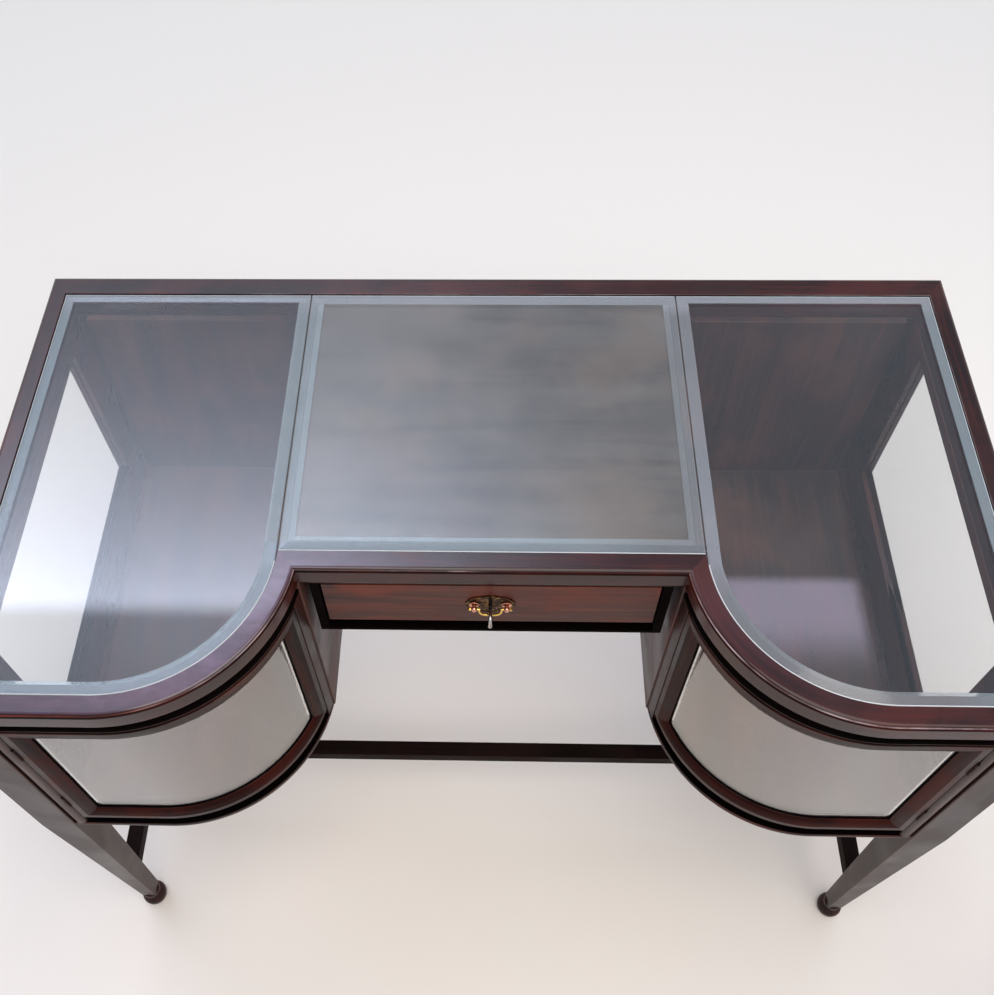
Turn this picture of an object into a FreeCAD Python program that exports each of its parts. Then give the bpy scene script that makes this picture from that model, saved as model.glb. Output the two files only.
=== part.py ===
import FreeCAD, Part
import math
import os

# Display console table with two bow-fronted glazed compartments and a kneehole drawer.
# Millimetres, X to the right, Y to the back, Z up, origin on the floor under the middle.
# Everything on the right is modelled once and mirrored to the left.

Vec = FreeCAD.Vector
up = Vec(0, 0, 1)

# Overall size
width = 1080.0
depth = 564.0
height = 785.0

# Plan of the front: a straight run at each end, a quarter bow, then the kneehole
straight_front = 159.0
bow_radius = 185.0
kneehole_setback = 158.0

# Top frame and its glass
top_thickness = 28.0
side_rail_width = 21.0
back_rail_width = 28.0
front_rail_width = 22.0
kneehole_rail_width = 23.0
ledge_width = 12.0
top_arris = 4.0
under_arris = 3.0
glass_thickness = 6.0
glass_clearance = 0.5
seam_gap = 1.5
side_bevel_width = 13.0
centre_bevel_width = 16.0
bevel_drop = 1.6
bearer_width = 30.0
bearer_rebate = 6.5
panel_thickness = 8.0
panel_clearance = 0.5

# Case heights
case_height = 329.0
frieze_height = 22.0
bottom_rail_height = 28.0
bottom_rail_setback = 7.0
bottom_bead_height = 8.0
board_thickness = 12.0
wall_thickness = 14.0
back_panel_thickness = 14.0
back_panel_inset = 34.0
frieze_thickness = 20.0
frieze_bead_radius = 4.0
frieze_bead_drop = 12.0
frieze_bead_proud = 5.5
frieze_hollow_setback = 5.0
frieze_hollow_depth = 1.5
bottom_rail_depth = 30.0
bottom_bead_round = 2.0
bottom_bead_underset = 4.0

# Legs
leg_width = 43.0
leg_depth = 42.0
taper_length = 392.0
ankle_size = 21.0
ankle_height = 36.0
foot_inset_x = 27.0
foot_inset_y = 18.5
collar_height = 8.0
collar_diameter = 26.0
neck_diameter = 23.0
pad_diameter = 35.0
pad_height = 20.0
pad_rounding = 6.0

# Stretchers
stretcher_size = 22.0
stretcher_height = 134.0
cross_stretcher_y = -83.0

# Glazed sides
window_frame_thickness = 18.0
window_frame_setback = 16.0
window_top_rail = 15.0
window_bottom_rail = 72.0
window_stile = 50.0
window_glass_thickness = 4.0
glass_rebate = 5.0
rebate_clearance = 0.2

# Posts and doors
post_angle = 5.2
post_inset = 1.0
outer_post_width = 14.7
joint_line = 0.3
post_rounding = 5.0
door_thickness = 18.0
door_inset = 2.0
door_gap = 1.8
door_side_gap = 1.5
door_flat = 8.0
door_chamfer_width = 15.0
door_chamfer_depth = 5.5
door_glass_depth = 6.7
door_glass_thickness = 6.5

# Door hinges
hinge_length = 30.0
hinge_leaf = 0.6
hinge_leaf_depth = 17.0
barrel_radius = 1.5
hinge_pin_radius = 0.8
pin_clearance = 0.08
barrel_gap = 0.1
hinge_end_distance = 45.0

# Drawer and its opening
drawer_setback = 8.0
opening_gap = 7.5
opening_post_width = 10.0
opening_post_depth = 20.0
opening_frieze_height = 15.0
opening_frieze_depth = 12.0
opening_height = 86.5
drawer_rail_height = 23.5
drawer_rail_lip = 5.0
drawer_rail_recess = 10.0
drawer_rail_drop = 17.0
drop_pin_diameter = 4.0
drawer_gap = 2.5
drawer_front_thickness = 18.0
drawer_side_thickness = 10.0
drawer_side_gap = 10.0
drawer_side_height = 72.0
drawer_back_gap = 55.0
drawer_back_drop = 5.0
drawer_bottom_thickness = 5.0
drawer_bottom_height = 6.0
groove_depth = 4.0
runner_thickness = 13.5
runner_width = 32.0
guide_height = 14.0
slide_clearance = 0.5

# Drawer furniture
keyhole_drop = 29.5
key_shaft_diameter = 4.0
key_shaft_length = 15.2
key_bow_radius = 7.2
key_bow_wire = 2.2
key_bit_length = 7.0
key_bit_width = 2.4
key_bit_depth = 6.0
lock_width = 44.0
lock_height = 46.0
lock_depth = 11.0
lock_plate = 1.5
lock_top_gap = 4.5
bolt_width = 12.0
bolt_thickness = 3.5
bolt_length = 20.0
fit = 0.3
key_clearance = 0.1
plate_thickness = 1.5
plate_half_width = 27.0
plate_height = 46.0
plate_middle_radius = 18.5
plate_shoulder_radius = 15.5
plate_shoulder_x = 10.5
plate_end_radius = 9.5
stud_spacing = 35.0
stud_drop = 10.0
stud_radius = 3.6
stud_length = 9.0
bail_wire = 1.5
bail_drop = 13.0
bail_knee_x = 9.5
bail_knee_drop = 11.2
bail_clearance = 0.08

# Levels and planes worked out from the sizes above
half_width = width / 2
front_y = -depth / 2
back_y = depth / 2
under_top = height - top_thickness
glass_bed = height - glass_thickness
case_bottom = under_top - case_height
frieze_bottom = under_top - frieze_height
floor_top = case_bottom + board_thickness
low_rail_top = case_bottom + bottom_rail_height
bead_top = case_bottom + bottom_bead_height
kneehole_y = front_y + kneehole_setback
bow_x = half_width - straight_front
bow_y = front_y + bow_radius
seam_x = bow_x - bow_radius + front_rail_width + glass_clearance
leg_outer_x = half_width
leg_inner_x = leg_outer_x - leg_width
leg_outer_y = back_y
leg_inner_y = leg_outer_y - leg_depth
ledge_back_y = back_y - back_rail_width - ledge_width
ledge_front_y = kneehole_y + kneehole_rail_width + ledge_width
panel_y = back_y - back_panel_inset - back_panel_thickness
far = 4 * (width + depth + height)


def block(x0, x1, y0, y1, z0, z1):
    return Part.makeBox(x1 - x0, y1 - y0, z1 - z0, Vec(x0, y0, z0))


def cylinder(radius, start, direction, length):
    return Part.makeCylinder(radius, length, start, direction)


def half_space(point, normal):
    # everything on the side of the plane that the normal points to
    slab = Part.makeBox(far, far, far, Vec(-far / 2, -far / 2, 0))
    slab.Placement = FreeCAD.Placement(point, FreeCAD.Rotation(up, normal))
    return slab


def keep(shape, point, normal):
    return shape.common(half_space(point, normal))


def beside(p, q):
    # level normal on the left hand of a walk from p to q
    return Vec(p.y - q.y, q.x - p.x, 0)


def joined(shapes):
    whole = shapes[0].fuse(shapes[1:])
    return whole.removeSplitter()


def mirrored(shape):
    return shape.mirror(Vec(0, 0, 0), Vec(1, 0, 0))


def arc_step(centre, radius, middle, end):
    # an arc of a section about a centre, given by the angles of its middle and its end
    steps = []
    for angle in (middle, end):
        steps.append(centre[0] + radius * math.cos(math.radians(angle)))
        steps.append(centre[1] + radius * math.sin(math.radians(angle)))
    return tuple(steps)


def section(start, inward, steps):
    # closed face through steps of (inset, height); a step of four numbers is an arc
    def place(inset, level):
        return start + inward * inset + up * level

    edges = []
    first = place(*steps[0])
    here = first
    for step in steps[1:]:
        there = place(*step[-2:])
        if len(step) == 4:
            edges.append(Part.Arc(here, place(*step[:2]), there).toShape())
        else:
            edges.append(Part.LineSegment(here, there).toShape())
        here = there
    edges.append(Part.LineSegment(here, first).toShape())
    return Part.Face(Part.Wire(edges))


def on_bow(radius, angle):
    turn = math.radians(angle)
    return Vec(bow_x - radius * math.cos(turn), bow_y - radius * math.sin(turn), 0)


def bow_angle(radius, y):
    return math.degrees(math.asin((bow_y - y) / radius))


def round_bow(steps, start_angle, end_x):
    # a section carried along the bow from an angle and on along the straight front
    turn = math.radians(start_angle)
    inward = Vec(math.cos(turn), math.sin(turn), 0)
    curved = section(on_bow(bow_radius, start_angle), inward, steps)
    curved = curved.revolve(Vec(bow_x, bow_y, 0), up, 90 - start_angle)
    level = section(Vec(bow_x, front_y, 0), Vec(0, 1, 0), steps)
    return joined([curved, level.extrude(Vec(end_x - bow_x, 0, 0))])


def plain_band(inset, thickness, z0, z1, start_angle, end_x):
    far_inset = inset + thickness
    steps = [(inset, z0), (far_inset, z0), (far_inset, z1), (inset, z1)]
    return round_bow(steps, start_angle, end_x)


def bow_edges(inset, start, end_x, level):
    # front edge of a case-shaped plan: from a start angle round the bow to end_x
    radius = bow_radius - inset
    points = [on_bow(radius, a) + up * level for a in (start, (start + 90) / 2, 90)]
    corner = Vec(end_x, front_y + inset, level)
    return [
        Part.Arc(*points).toShape(),
        Part.LineSegment(points[2], corner).toShape(),
    ]


def case_plan(inset, x0, x1, y1, level):
    # outline of a pane or board whose front follows the bow
    radius = bow_radius - inset
    reach = (bow_x - x0) / radius
    corner = []
    if reach < 1:
        start = math.degrees(math.acos(reach))
    else:
        start = bow_angle(radius, kneehole_y + post_inset)
        corner = [Vec(x0, kneehole_y + post_inset, level)]
    edges = bow_edges(inset, start, x1, level)
    route = [Vec(x1, front_y + inset, level), Vec(x1, y1, level), Vec(x0, y1, level)]
    route += corner + [on_bow(radius, start) + up * level]
    for here, there in zip(route, route[1:]):
        edges.append(Part.LineSegment(here, there).toShape())
    return Part.Wire(Part.sortEdges(edges)[0])


def bevelled(outer, inner, base):
    # a pane: a flat slab below and a sloping margin round a flat field on top
    slab = Part.Face(outer).extrude(up * base)
    raised = outer.copy()
    raised.translate(up * base)
    return joined([slab, Part.makeLoft([raised, inner], True, True)])


def rail_steps(rail_width):
    # section of a top rail: rounded arris above, small one below, ledge for the glass
    top_centre = (top_arris, height - top_arris)
    low_centre = (under_arris, under_top + under_arris)
    return [
        (under_arris, under_top),
        arc_step(low_centre, under_arris, 225, 180),
        (0, height - top_arris),
        arc_step(top_centre, top_arris, 135, 90),
        (rail_width, height),
        (rail_width, glass_bed),
        (rail_width + ledge_width, glass_bed),
        (rail_width + ledge_width, under_top),
    ]


parts = {}


def add(name, shape):
    parts[name] = shape


def add_pair(name, shape):
    parts["right_" + name] = shape
    parts["left_" + name] = mirrored(shape)


# Top frame: five straight and two bowed rails, mitred at every corner
front_corner = Vec(half_width, front_y, 0)
front_corner_in = Vec(half_width - side_rail_width, front_y + front_rail_width, 0)
back_corner = Vec(half_width, back_y, 0)
back_corner_in = Vec(half_width - side_rail_width, back_y - back_rail_width, 0)
knee_corner = on_bow(bow_radius, bow_angle(bow_radius, kneehole_y))
inner_bow = bow_radius - front_rail_width
knee_corner_in = on_bow(inner_bow, bow_angle(inner_bow, kneehole_y + kneehole_rail_width))
front_mitre = beside(front_corner, front_corner_in)
back_mitre = beside(back_corner, back_corner_in)
knee_mitre = beside(knee_corner, knee_corner_in)

behind_bow = -6.0
front_rail = round_bow(rail_steps(front_rail_width), behind_bow, half_width)
front_rail = keep(front_rail, front_corner, front_mitre)
front_rail = keep(front_rail, knee_corner, knee_mitre * -1)
add_pair("front_top_rail", front_rail)

side_rail = section(front_corner, Vec(-1, 0, 0), rail_steps(side_rail_width))
side_rail = side_rail.extrude(Vec(0, depth, 0))
side_rail = keep(side_rail, front_corner, front_mitre * -1)
side_rail = keep(side_rail, back_corner, back_mitre)
add_pair("side_top_rail", side_rail)

back_rail = section(back_corner, Vec(0, -1, 0), rail_steps(back_rail_width))
back_rail = back_rail.extrude(Vec(-width, 0, 0))
back_rail = keep(back_rail, back_corner, back_mitre * -1)
back_rail = mirrored(keep(mirrored(back_rail), back_corner, back_mitre * -1))
add("back_top_rail", back_rail)

knee_start = Vec(half_width, kneehole_y, 0)
knee_rail = section(knee_start, Vec(0, 1, 0), rail_steps(kneehole_rail_width))
knee_rail = knee_rail.extrude(Vec(-width, 0, 0))
knee_rail = keep(knee_rail, knee_corner, knee_mitre)
knee_rail = mirrored(keep(mirrored(knee_rail), knee_corner, knee_mitre))
add("kneehole_top_rail", knee_rail)

# Bearers under the seams of the glass, rebated for the centre panel
bearer_x0 = seam_x - bearer_width / 2
bearer_x1 = seam_x + bearer_width / 2
panel_under = glass_bed - panel_thickness
bearer = block(bearer_x0, bearer_x1, ledge_front_y, ledge_back_y, under_top, glass_bed)
rebate = block(0, bearer_x0 + bearer_rebate, front_y, back_y, panel_under, height)
bearer = bearer.cut(rebate).cut(front_rail)
add("glass_bearers", Part.makeCompound([bearer, mirrored(bearer)]))

panel_x = bearer_x0 + bearer_rebate - panel_clearance
panel_front = ledge_front_y + panel_clearance
panel_back = ledge_back_y - panel_clearance
add("centre_panel", block(-panel_x, panel_x, panel_front, panel_back, panel_under, glass_bed))

# Three bevelled panes lying flush in the top frame
pane_x0 = seam_x + seam_gap / 2
pane_x1 = half_width - side_rail_width - glass_clearance
pane_y1 = back_y - back_rail_width - glass_clearance
pane_inset = front_rail_width + glass_clearance
flat_height = glass_thickness - bevel_drop


def side_pane_outline(shrink, level):
    return case_plan(
        pane_inset + shrink, pane_x0 + shrink, pane_x1 - shrink, pane_y1 - shrink, level
    )


side_field = side_pane_outline(side_bevel_width, height)
add_pair("top_glass", bevelled(side_pane_outline(0, glass_bed), side_field, flat_height))


def centre_pane_outline(shrink, level):
    x = seam_x - seam_gap / 2 - shrink
    y0 = kneehole_y + kneehole_rail_width + glass_clearance + shrink
    y1 = pane_y1 - shrink
    corners = [Vec(-x, y0, level), Vec(x, y0, level), Vec(x, y1, level), Vec(-x, y1, level)]
    return Part.makePolygon(corners + corners[:1])


centre_field = centre_pane_outline(centre_bevel_width, height)
centre_pane = bevelled(centre_pane_outline(0, glass_bed), centre_field, flat_height)
add("centre_top_glass", centre_pane)


# Legs: square above, tapered below, with a turned foot of the same piece
def make_leg():
    # front right leg
    taper_top = ankle_height + taper_length
    foot_x = half_width - foot_inset_x
    foot_y = front_y + foot_inset_y
    half_ankle = ankle_size / 2

    def square(x0, x1, y0, y1, level):
        corners = [Vec(x0, y0, level), Vec(x1, y0, level), Vec(x1, y1, level), Vec(x0, y1, level)]
        return Part.makePolygon(corners + corners[:1])

    head = block(leg_inner_x, leg_outer_x, -leg_outer_y, -leg_inner_y, taper_top, under_top)
    upper = square(leg_inner_x, leg_outer_x, -leg_outer_y, -leg_inner_y, taper_top)
    lower = square(
        foot_x - half_ankle, foot_x + half_ankle, foot_y - half_ankle, foot_y + half_ankle,
        ankle_height,
    )
    taper = Part.makeLoft([lower, upper], True, True)
    pad = pad_diameter / 2
    collar_base = ankle_height - collar_height
    waist = (pad_height + collar_base) / 2
    foot = section(Vec(foot_x, foot_y, 0), Vec(1, 0, 0), [
        (0, 0),
        (pad - pad_rounding, 0),
        arc_step((pad - pad_rounding, pad_rounding), pad_rounding, -45, 0),
        (pad, pad_height - pad_rounding),
        arc_step((pad - pad_rounding, pad_height - pad_rounding), pad_rounding, 45, 90),
        (neck_diameter / 2, waist),
        (collar_diameter / 2, collar_base),
        (collar_diameter / 2, ankle_height),
        (0, ankle_height),
    ])
    foot = foot.revolve(Vec(foot_x, foot_y, 0), up, 360)
    return joined([head, taper, foot])


front_leg = make_leg()
rear_leg = front_leg.mirror(Vec(0, 0, 0), Vec(0, 1, 0))
add_pair("front_leg", front_leg)
add_pair("rear_leg", rear_leg)

# Stretchers: one between the legs of each side, one across between those two
stretcher_top = stretcher_height + stretcher_size
stretcher_x = half_width - foot_inset_x
stretcher_x0 = stretcher_x - stretcher_size / 2
stretcher_x1 = stretcher_x + stretcher_size / 2
side_stretcher = block(
    stretcher_x0, stretcher_x1, -leg_outer_y + leg_depth / 2, leg_outer_y - leg_depth / 2,
    stretcher_height, stretcher_top,
)
side_stretcher = side_stretcher.cut(front_leg).cut(rear_leg)
add_pair("side_stretcher", side_stretcher)
cross_y0 = cross_stretcher_y - stretcher_size / 2
cross_y1 = cross_stretcher_y + stretcher_size / 2
add("cross_stretcher", block(
    -stretcher_x0, stretcher_x0, cross_y0, cross_y1, stretcher_height, stretcher_top,
))

# Glazed sides between the legs: two rails, two stiles and a pane in a groove
frame_x1 = half_width - window_frame_setback
frame_x0 = frame_x1 - window_frame_thickness
sight_y = leg_inner_y - window_stile
sight_z0 = case_bottom + window_bottom_rail
sight_z1 = under_top - window_top_rail
side_glass_x0 = (frame_x0 + frame_x1 + window_glass_thickness) / 2 - window_glass_thickness
side_glass_x1 = side_glass_x0 + window_glass_thickness


def side_glass_block(extra):
    edge = glass_rebate + extra
    return block(
        side_glass_x0 - extra, side_glass_x1 + extra, -sight_y - edge, sight_y + edge,
        sight_z0 - edge, sight_z1 + edge,
    )


window_groove = side_glass_block(rebate_clearance)
window_pieces = [
    block(frame_x0, frame_x1, -leg_inner_y, leg_inner_y, sight_z1, under_top),
    joined([
        block(frame_x0, frame_x1, -leg_inner_y, leg_inner_y, case_bottom, sight_z0),
        block(leg_inner_x, frame_x0, -leg_inner_y, leg_inner_y, case_bottom, floor_top),
    ]),
    block(frame_x0, frame_x1, -leg_inner_y, -sight_y, sight_z0, sight_z1),
    block(frame_x0, frame_x1, sight_y, leg_inner_y, sight_z0, sight_z1),
]
window_pieces = [piece.cut(window_groove) for piece in window_pieces]
add_pair("window_frame", Part.makeCompound(window_pieces))
add_pair("window_glass", side_glass_block(0))

# Carcase: kneehole walls, backs and floor boards
wall_x1 = knee_corner.x
wall_x2 = wall_x1 + wall_thickness
wall_front = kneehole_y + post_inset
add_pair("kneehole_wall", block(wall_x1, wall_x2, wall_front, panel_y, case_bottom, under_top))

panel_y1 = panel_y + back_panel_thickness
add_pair("back_panel", block(wall_x1, leg_inner_x, panel_y, panel_y1, case_bottom, under_top))
opening_top = under_top - opening_frieze_height
opening_bottom = opening_top - opening_height - drawer_rail_height
add("centre_back_panel", block(
    -wall_x1, wall_x1, panel_y, panel_y1, opening_bottom, under_top,
))

board_plan = case_plan(bottom_rail_depth, wall_x2, leg_inner_x, panel_y, case_bottom)
add_pair("floor_board", Part.Face(board_plan).extrude(up * board_thickness))

# Posts at both ends of each door
post_start = bow_angle(bow_radius - door_inset, kneehole_y)
post_end = post_start + post_angle
door_radius = bow_radius - door_inset
outer_post_x1 = leg_inner_x - joint_line
outer_post_x0 = outer_post_x1 - outer_post_width
behind_post = Vec(0, wall_front, 0)
inner_post = plain_band(door_inset, door_thickness, bead_top, frieze_bottom, 0, leg_inner_x)
inner_post = keep(inner_post, behind_post, Vec(0, -1, 0))
post_edge = Vec(math.sin(math.radians(post_end)), -math.cos(math.radians(post_end)), 0)
inner_post = keep(inner_post, on_bow(door_radius, post_end), post_edge * -1)
add_pair("inner_post", inner_post)

post_y0 = front_y + post_inset
post_y1 = front_y + door_inset + door_thickness
post_middle = (outer_post_x0 + outer_post_x1) / 2
post_shoulder = post_y0 + post_rounding
nose = Part.Wire([
    Part.Arc(
        Vec(outer_post_x0, post_shoulder, bead_top), Vec(post_middle, post_y0, bead_top),
        Vec(outer_post_x1, post_shoulder, bead_top),
    ).toShape(),
    Part.LineSegment(
        Vec(outer_post_x1, post_shoulder, bead_top), Vec(outer_post_x1, post_y1, bead_top)
    ).toShape(),
    Part.LineSegment(
        Vec(outer_post_x1, post_y1, bead_top), Vec(outer_post_x0, post_y1, bead_top)
    ).toShape(),
    Part.LineSegment(
        Vec(outer_post_x0, post_y1, bead_top), Vec(outer_post_x0, post_shoulder, bead_top)
    ).toShape(),
])
outer_post = Part.Face(nose).extrude(up * (frieze_bottom - bead_top))
add_pair("outer_post", outer_post)

# Frieze under the top: a hollow, a bead, and a flat above the door
bead_centre = (door_inset + frieze_bead_radius, under_top - frieze_bead_drop)
bead_crown = bead_centre[1] + frieze_bead_radius
hollow_inset = door_inset + frieze_hollow_setback
hollow_middle = (hollow_inset + frieze_hollow_depth, (under_top + bead_crown) / 2)
frieze_inset = door_inset + frieze_bead_proud
frieze_steps = [
    (hollow_inset, under_top),
    hollow_middle + (bead_centre[0], bead_crown),
    arc_step(bead_centre, frieze_bead_radius, 180, 270),
    (frieze_inset, bead_centre[1] - frieze_bead_radius),
    (frieze_inset, frieze_bottom),
    (door_inset + frieze_thickness, frieze_bottom),
    (door_inset + frieze_thickness, under_top),
]
frieze = keep(round_bow(frieze_steps, 0, leg_inner_x), behind_post, Vec(0, -1, 0))
add_pair("frieze", frieze)

# Bottom rail between the posts, with a bead that runs on under them
bead_steps = [
    (bottom_bead_underset, case_bottom),
    (door_inset - bottom_bead_round, (case_bottom + bead_top) / 2, door_inset, bead_top),
    (bottom_rail_depth, bead_top),
    (bottom_rail_depth, case_bottom),
]
bead = keep(round_bow(bead_steps, 0, leg_inner_x), behind_post, Vec(0, -1, 0))
low_rail_steps = [
    (door_inset + bottom_rail_setback, bead_top),
    (door_inset + bottom_rail_setback, low_rail_top),
    (bottom_rail_depth, low_rail_top),
    (bottom_rail_depth, bead_top),
]
low_rail = round_bow(low_rail_steps, post_end, outer_post_x0)
add_pair("bottom_rail", joined([bead, low_rail]))


# Doors: a mitred frame of two bowed rails and two stiles round a bent pane
door_z0 = low_rail_top + door_gap
door_z1 = frieze_bottom - door_gap
member = door_flat + door_chamfer_width
door_start = post_end + math.degrees(door_side_gap / door_radius)
door_end_x = outer_post_x0 - door_side_gap
glass_inset = door_inset + door_glass_depth
sight_start = door_start + math.degrees(member / door_radius)
sight_end_x = door_end_x - member
rebate_angle = math.degrees(glass_rebate / door_radius)
clearance_angle = math.degrees(rebate_clearance / door_radius)


def bent_glass(extra, turn):
    edge = glass_rebate + extra
    return plain_band(
        glass_inset - extra, door_glass_thickness + 2 * extra,
        door_z0 + member - edge, door_z1 - member + edge,
        sight_start - rebate_angle - turn, sight_end_x + edge,
    )


def rail_blank(outer, inner):
    # door rail with its chamfer on the side of the pane
    way = 1 if inner > outer else -1
    return round_bow([
        (door_inset, outer),
        (door_inset, outer + way * door_flat),
        (door_inset + door_chamfer_depth, inner),
        (door_inset + door_thickness, inner),
        (door_inset + door_thickness, outer),
    ], door_start, door_end_x)


def hinge_stile_blank():
    y = front_y + door_inset
    corners = [
        Vec(door_end_x, y, door_z0),
        Vec(door_end_x, y + door_thickness, door_z0),
        Vec(sight_end_x, y + door_thickness, door_z0),
        Vec(sight_end_x, y + door_chamfer_depth, door_z0),
        Vec(door_end_x - door_flat, y, door_z0),
    ]
    plan = Part.Face(Part.makePolygon(corners + corners[:1]))
    return plan.extrude(up * (door_z1 - door_z0))


def meeting_stile_blank():
    flat_end = door_start + math.degrees(door_flat / door_radius)
    back_radius = door_radius - door_thickness
    lip_radius = door_radius - door_chamfer_depth
    level = up * door_z0
    p = [on_bow(door_radius, a) + level for a in (door_start, flat_end)]
    p_mid = on_bow(door_radius, (door_start + flat_end) / 2) + level
    lip = on_bow(lip_radius, sight_start) + level
    q = [on_bow(back_radius, a) + level for a in (sight_start, door_start)]
    q_mid = on_bow(back_radius, (door_start + sight_start) / 2) + level
    plan = Part.Wire([
        Part.Arc(p[0], p_mid, p[1]).toShape(),
        Part.LineSegment(p[1], lip).toShape(),
        Part.LineSegment(lip, q[0]).toShape(),
        Part.Arc(q[0], q_mid, q[1]).toShape(),
        Part.LineSegment(q[1], p[0]).toShape(),
    ])
    return Part.Face(plan).extrude(up * (door_z1 - door_z0))


mid_turn = math.radians((door_start + sight_start) / 2)
toward_hinge = Vec(math.sin(mid_turn), -math.cos(mid_turn), 0)
start_low = on_bow(door_radius, door_start) + up * door_z0
start_high = on_bow(door_radius, door_start) + up * door_z1
end_low = Vec(door_end_x, front_y, door_z0)
end_high = Vec(door_end_x, front_y, door_z1)
right_way = Vec(1, 0, 0)

low_door_rail = rail_blank(door_z0, door_z0 + member)
low_door_rail = keep(low_door_rail, start_low, toward_hinge - up)
low_door_rail = keep(low_door_rail, end_low, right_way * -1 - up)
high_door_rail = rail_blank(door_z1, door_z1 - member)
high_door_rail = keep(high_door_rail, start_high, toward_hinge + up)
high_door_rail = keep(high_door_rail, end_high, right_way * -1 + up)
meeting_stile = keep(meeting_stile_blank(), start_low, up - toward_hinge)
meeting_stile = keep(meeting_stile, start_high, toward_hinge * -1 - up)
hinge_stile = keep(hinge_stile_blank(), end_low, right_way + up)
hinge_stile = keep(hinge_stile, end_high, right_way - up)

glass_groove = bent_glass(rebate_clearance, clearance_angle)
low_door_rail = low_door_rail.cut(glass_groove)
high_door_rail = high_door_rail.cut(glass_groove)
add_pair("door_rails", Part.makeCompound([low_door_rail, high_door_rail]))
add_pair("door_meeting_stile", meeting_stile.cut(glass_groove))
add_pair("door_glass", bent_glass(0, 0))

# Hinges: thin leaves in the gap beside the outer post, three barrels and a pin
hinge_x = (door_end_x + outer_post_x0) / 2
hinge_y = front_y + barrel_radius
leaf_y1 = hinge_y + barrel_radius + hinge_leaf_depth
leaf_y0 = hinge_y + hinge_pin_radius + hinge_leaf
barrel = hinge_length / 3
hinge_levels = [
    door_z0 + hinge_end_distance,
    door_z1 - hinge_end_distance - hinge_length,
]

# The hinge stile is hollowed beside each hinge, so that the barrels turn in it
hinge_stile = hinge_stile.cut(glass_groove)
for level in hinge_levels:
    low_end = Vec(hinge_x, hinge_y, level - fit)
    hollow = cylinder(barrel_radius + fit, low_end, up, hinge_length + 2 * fit)
    hinge_stile = hinge_stile.cut(hollow)
add_pair("door_hinge_stile", hinge_stile)


def door_side_of_hinge(z):
    centre = Vec(hinge_x, hinge_y, 0)
    middle = cylinder(barrel_radius, centre + up * (z + barrel), up, barrel)
    pin = cylinder(hinge_pin_radius, centre + up * z, up, hinge_length)
    leaf = block(
        door_end_x, door_end_x + hinge_leaf, leaf_y0, leaf_y1, z + barrel, z + 2 * barrel
    )
    return joined([middle, pin, leaf])


def post_side_of_hinge(z):
    centre = Vec(hinge_x, hinge_y, 0)
    hole = cylinder(hinge_pin_radius + pin_clearance, centre + up * z, up, hinge_length)
    pieces = []
    for start, end in ((z, z + barrel - barrel_gap), (z + 2 * barrel + barrel_gap, z + hinge_length)):
        ring = cylinder(barrel_radius, centre + up * start, up, end - start)
        leaf = block(outer_post_x0 - hinge_leaf, outer_post_x0, leaf_y0, leaf_y1, start, end)
        pieces.append(ring.fuse(leaf).cut(hole))
    return pieces


add_pair("door_hinge_knuckles", Part.makeCompound([door_side_of_hinge(z) for z in hinge_levels]))
post_leaves = []
for level in hinge_levels:
    post_leaves += post_side_of_hinge(level)
post_leaves += [mirrored(leaf) for leaf in post_leaves]
add("hinge_post_leaves", Part.makeCompound(post_leaves))

# Drawer opening: frieze above, a post on each side, a recessed rail below
face_y = kneehole_y + drawer_setback
post_x1 = wall_x1 - opening_gap
opening_half_width = post_x1 - opening_post_width
opening_back = face_y + opening_post_depth
rail_top = opening_bottom + drawer_rail_height
add("kneehole_frieze", block(
    -post_x1, post_x1, face_y, face_y + opening_frieze_depth, opening_top, under_top,
))
opening_post = block(
    opening_half_width, post_x1, face_y, opening_back, opening_bottom, opening_top
)
rail_face = face_y + drawer_rail_recess
lip_top = opening_bottom + drawer_rail_lip
drawer_rail = joined([
    block(-opening_half_width, opening_half_width, rail_face, opening_back,
          opening_bottom, rail_top),
    block(-opening_half_width, opening_half_width, face_y, opening_back,
          opening_bottom, lip_top),
])
drop_start = Vec(post_x1 - drop_pin_diameter, face_y + opening_post_depth / 2, opening_bottom)
drop_pin = cylinder(drop_pin_diameter / 2, drop_start, up * -1, drawer_rail_drop)
add("drawer_opening_frame", Part.makeCompound([
    opening_post, mirrored(opening_post), drawer_rail, drop_pin, mirrored(drop_pin),
]))

# Runners carry and guide the drawer between the opening and the back
front_x = opening_half_width - drawer_gap
front_z0 = rail_top + drawer_gap
front_z1 = opening_top - drawer_gap
side_x1 = opening_half_width - drawer_side_gap
side_x0 = side_x1 - drawer_side_thickness
runner_top = front_z0 - slide_clearance
runner = block(
    post_x1 - runner_width, post_x1, opening_back, panel_y, runner_top - runner_thickness,
    runner_top,
)
guide = block(
    side_x1 + slide_clearance, post_x1, opening_back, panel_y, runner_top,
    runner_top + guide_height,
)
add("drawer_runners", Part.makeCompound([runner, guide, mirrored(runner), mirrored(guide)]))

# Drawer box
front_back_y = face_y + drawer_front_thickness
drawer_end = panel_y - drawer_back_gap
side_top = front_z0 + drawer_side_height
bottom_z0 = front_z0 + drawer_bottom_height
bottom_z1 = bottom_z0 + drawer_bottom_thickness
bottom_x = side_x0 + groove_depth - rebate_clearance
bottom_y0 = front_back_y - groove_depth + rebate_clearance


def bottom_board(extra):
    return block(
        -bottom_x - extra, bottom_x + extra, bottom_y0 - extra, drawer_end + extra,
        bottom_z0 - extra, bottom_z1 + extra,
    )


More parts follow.
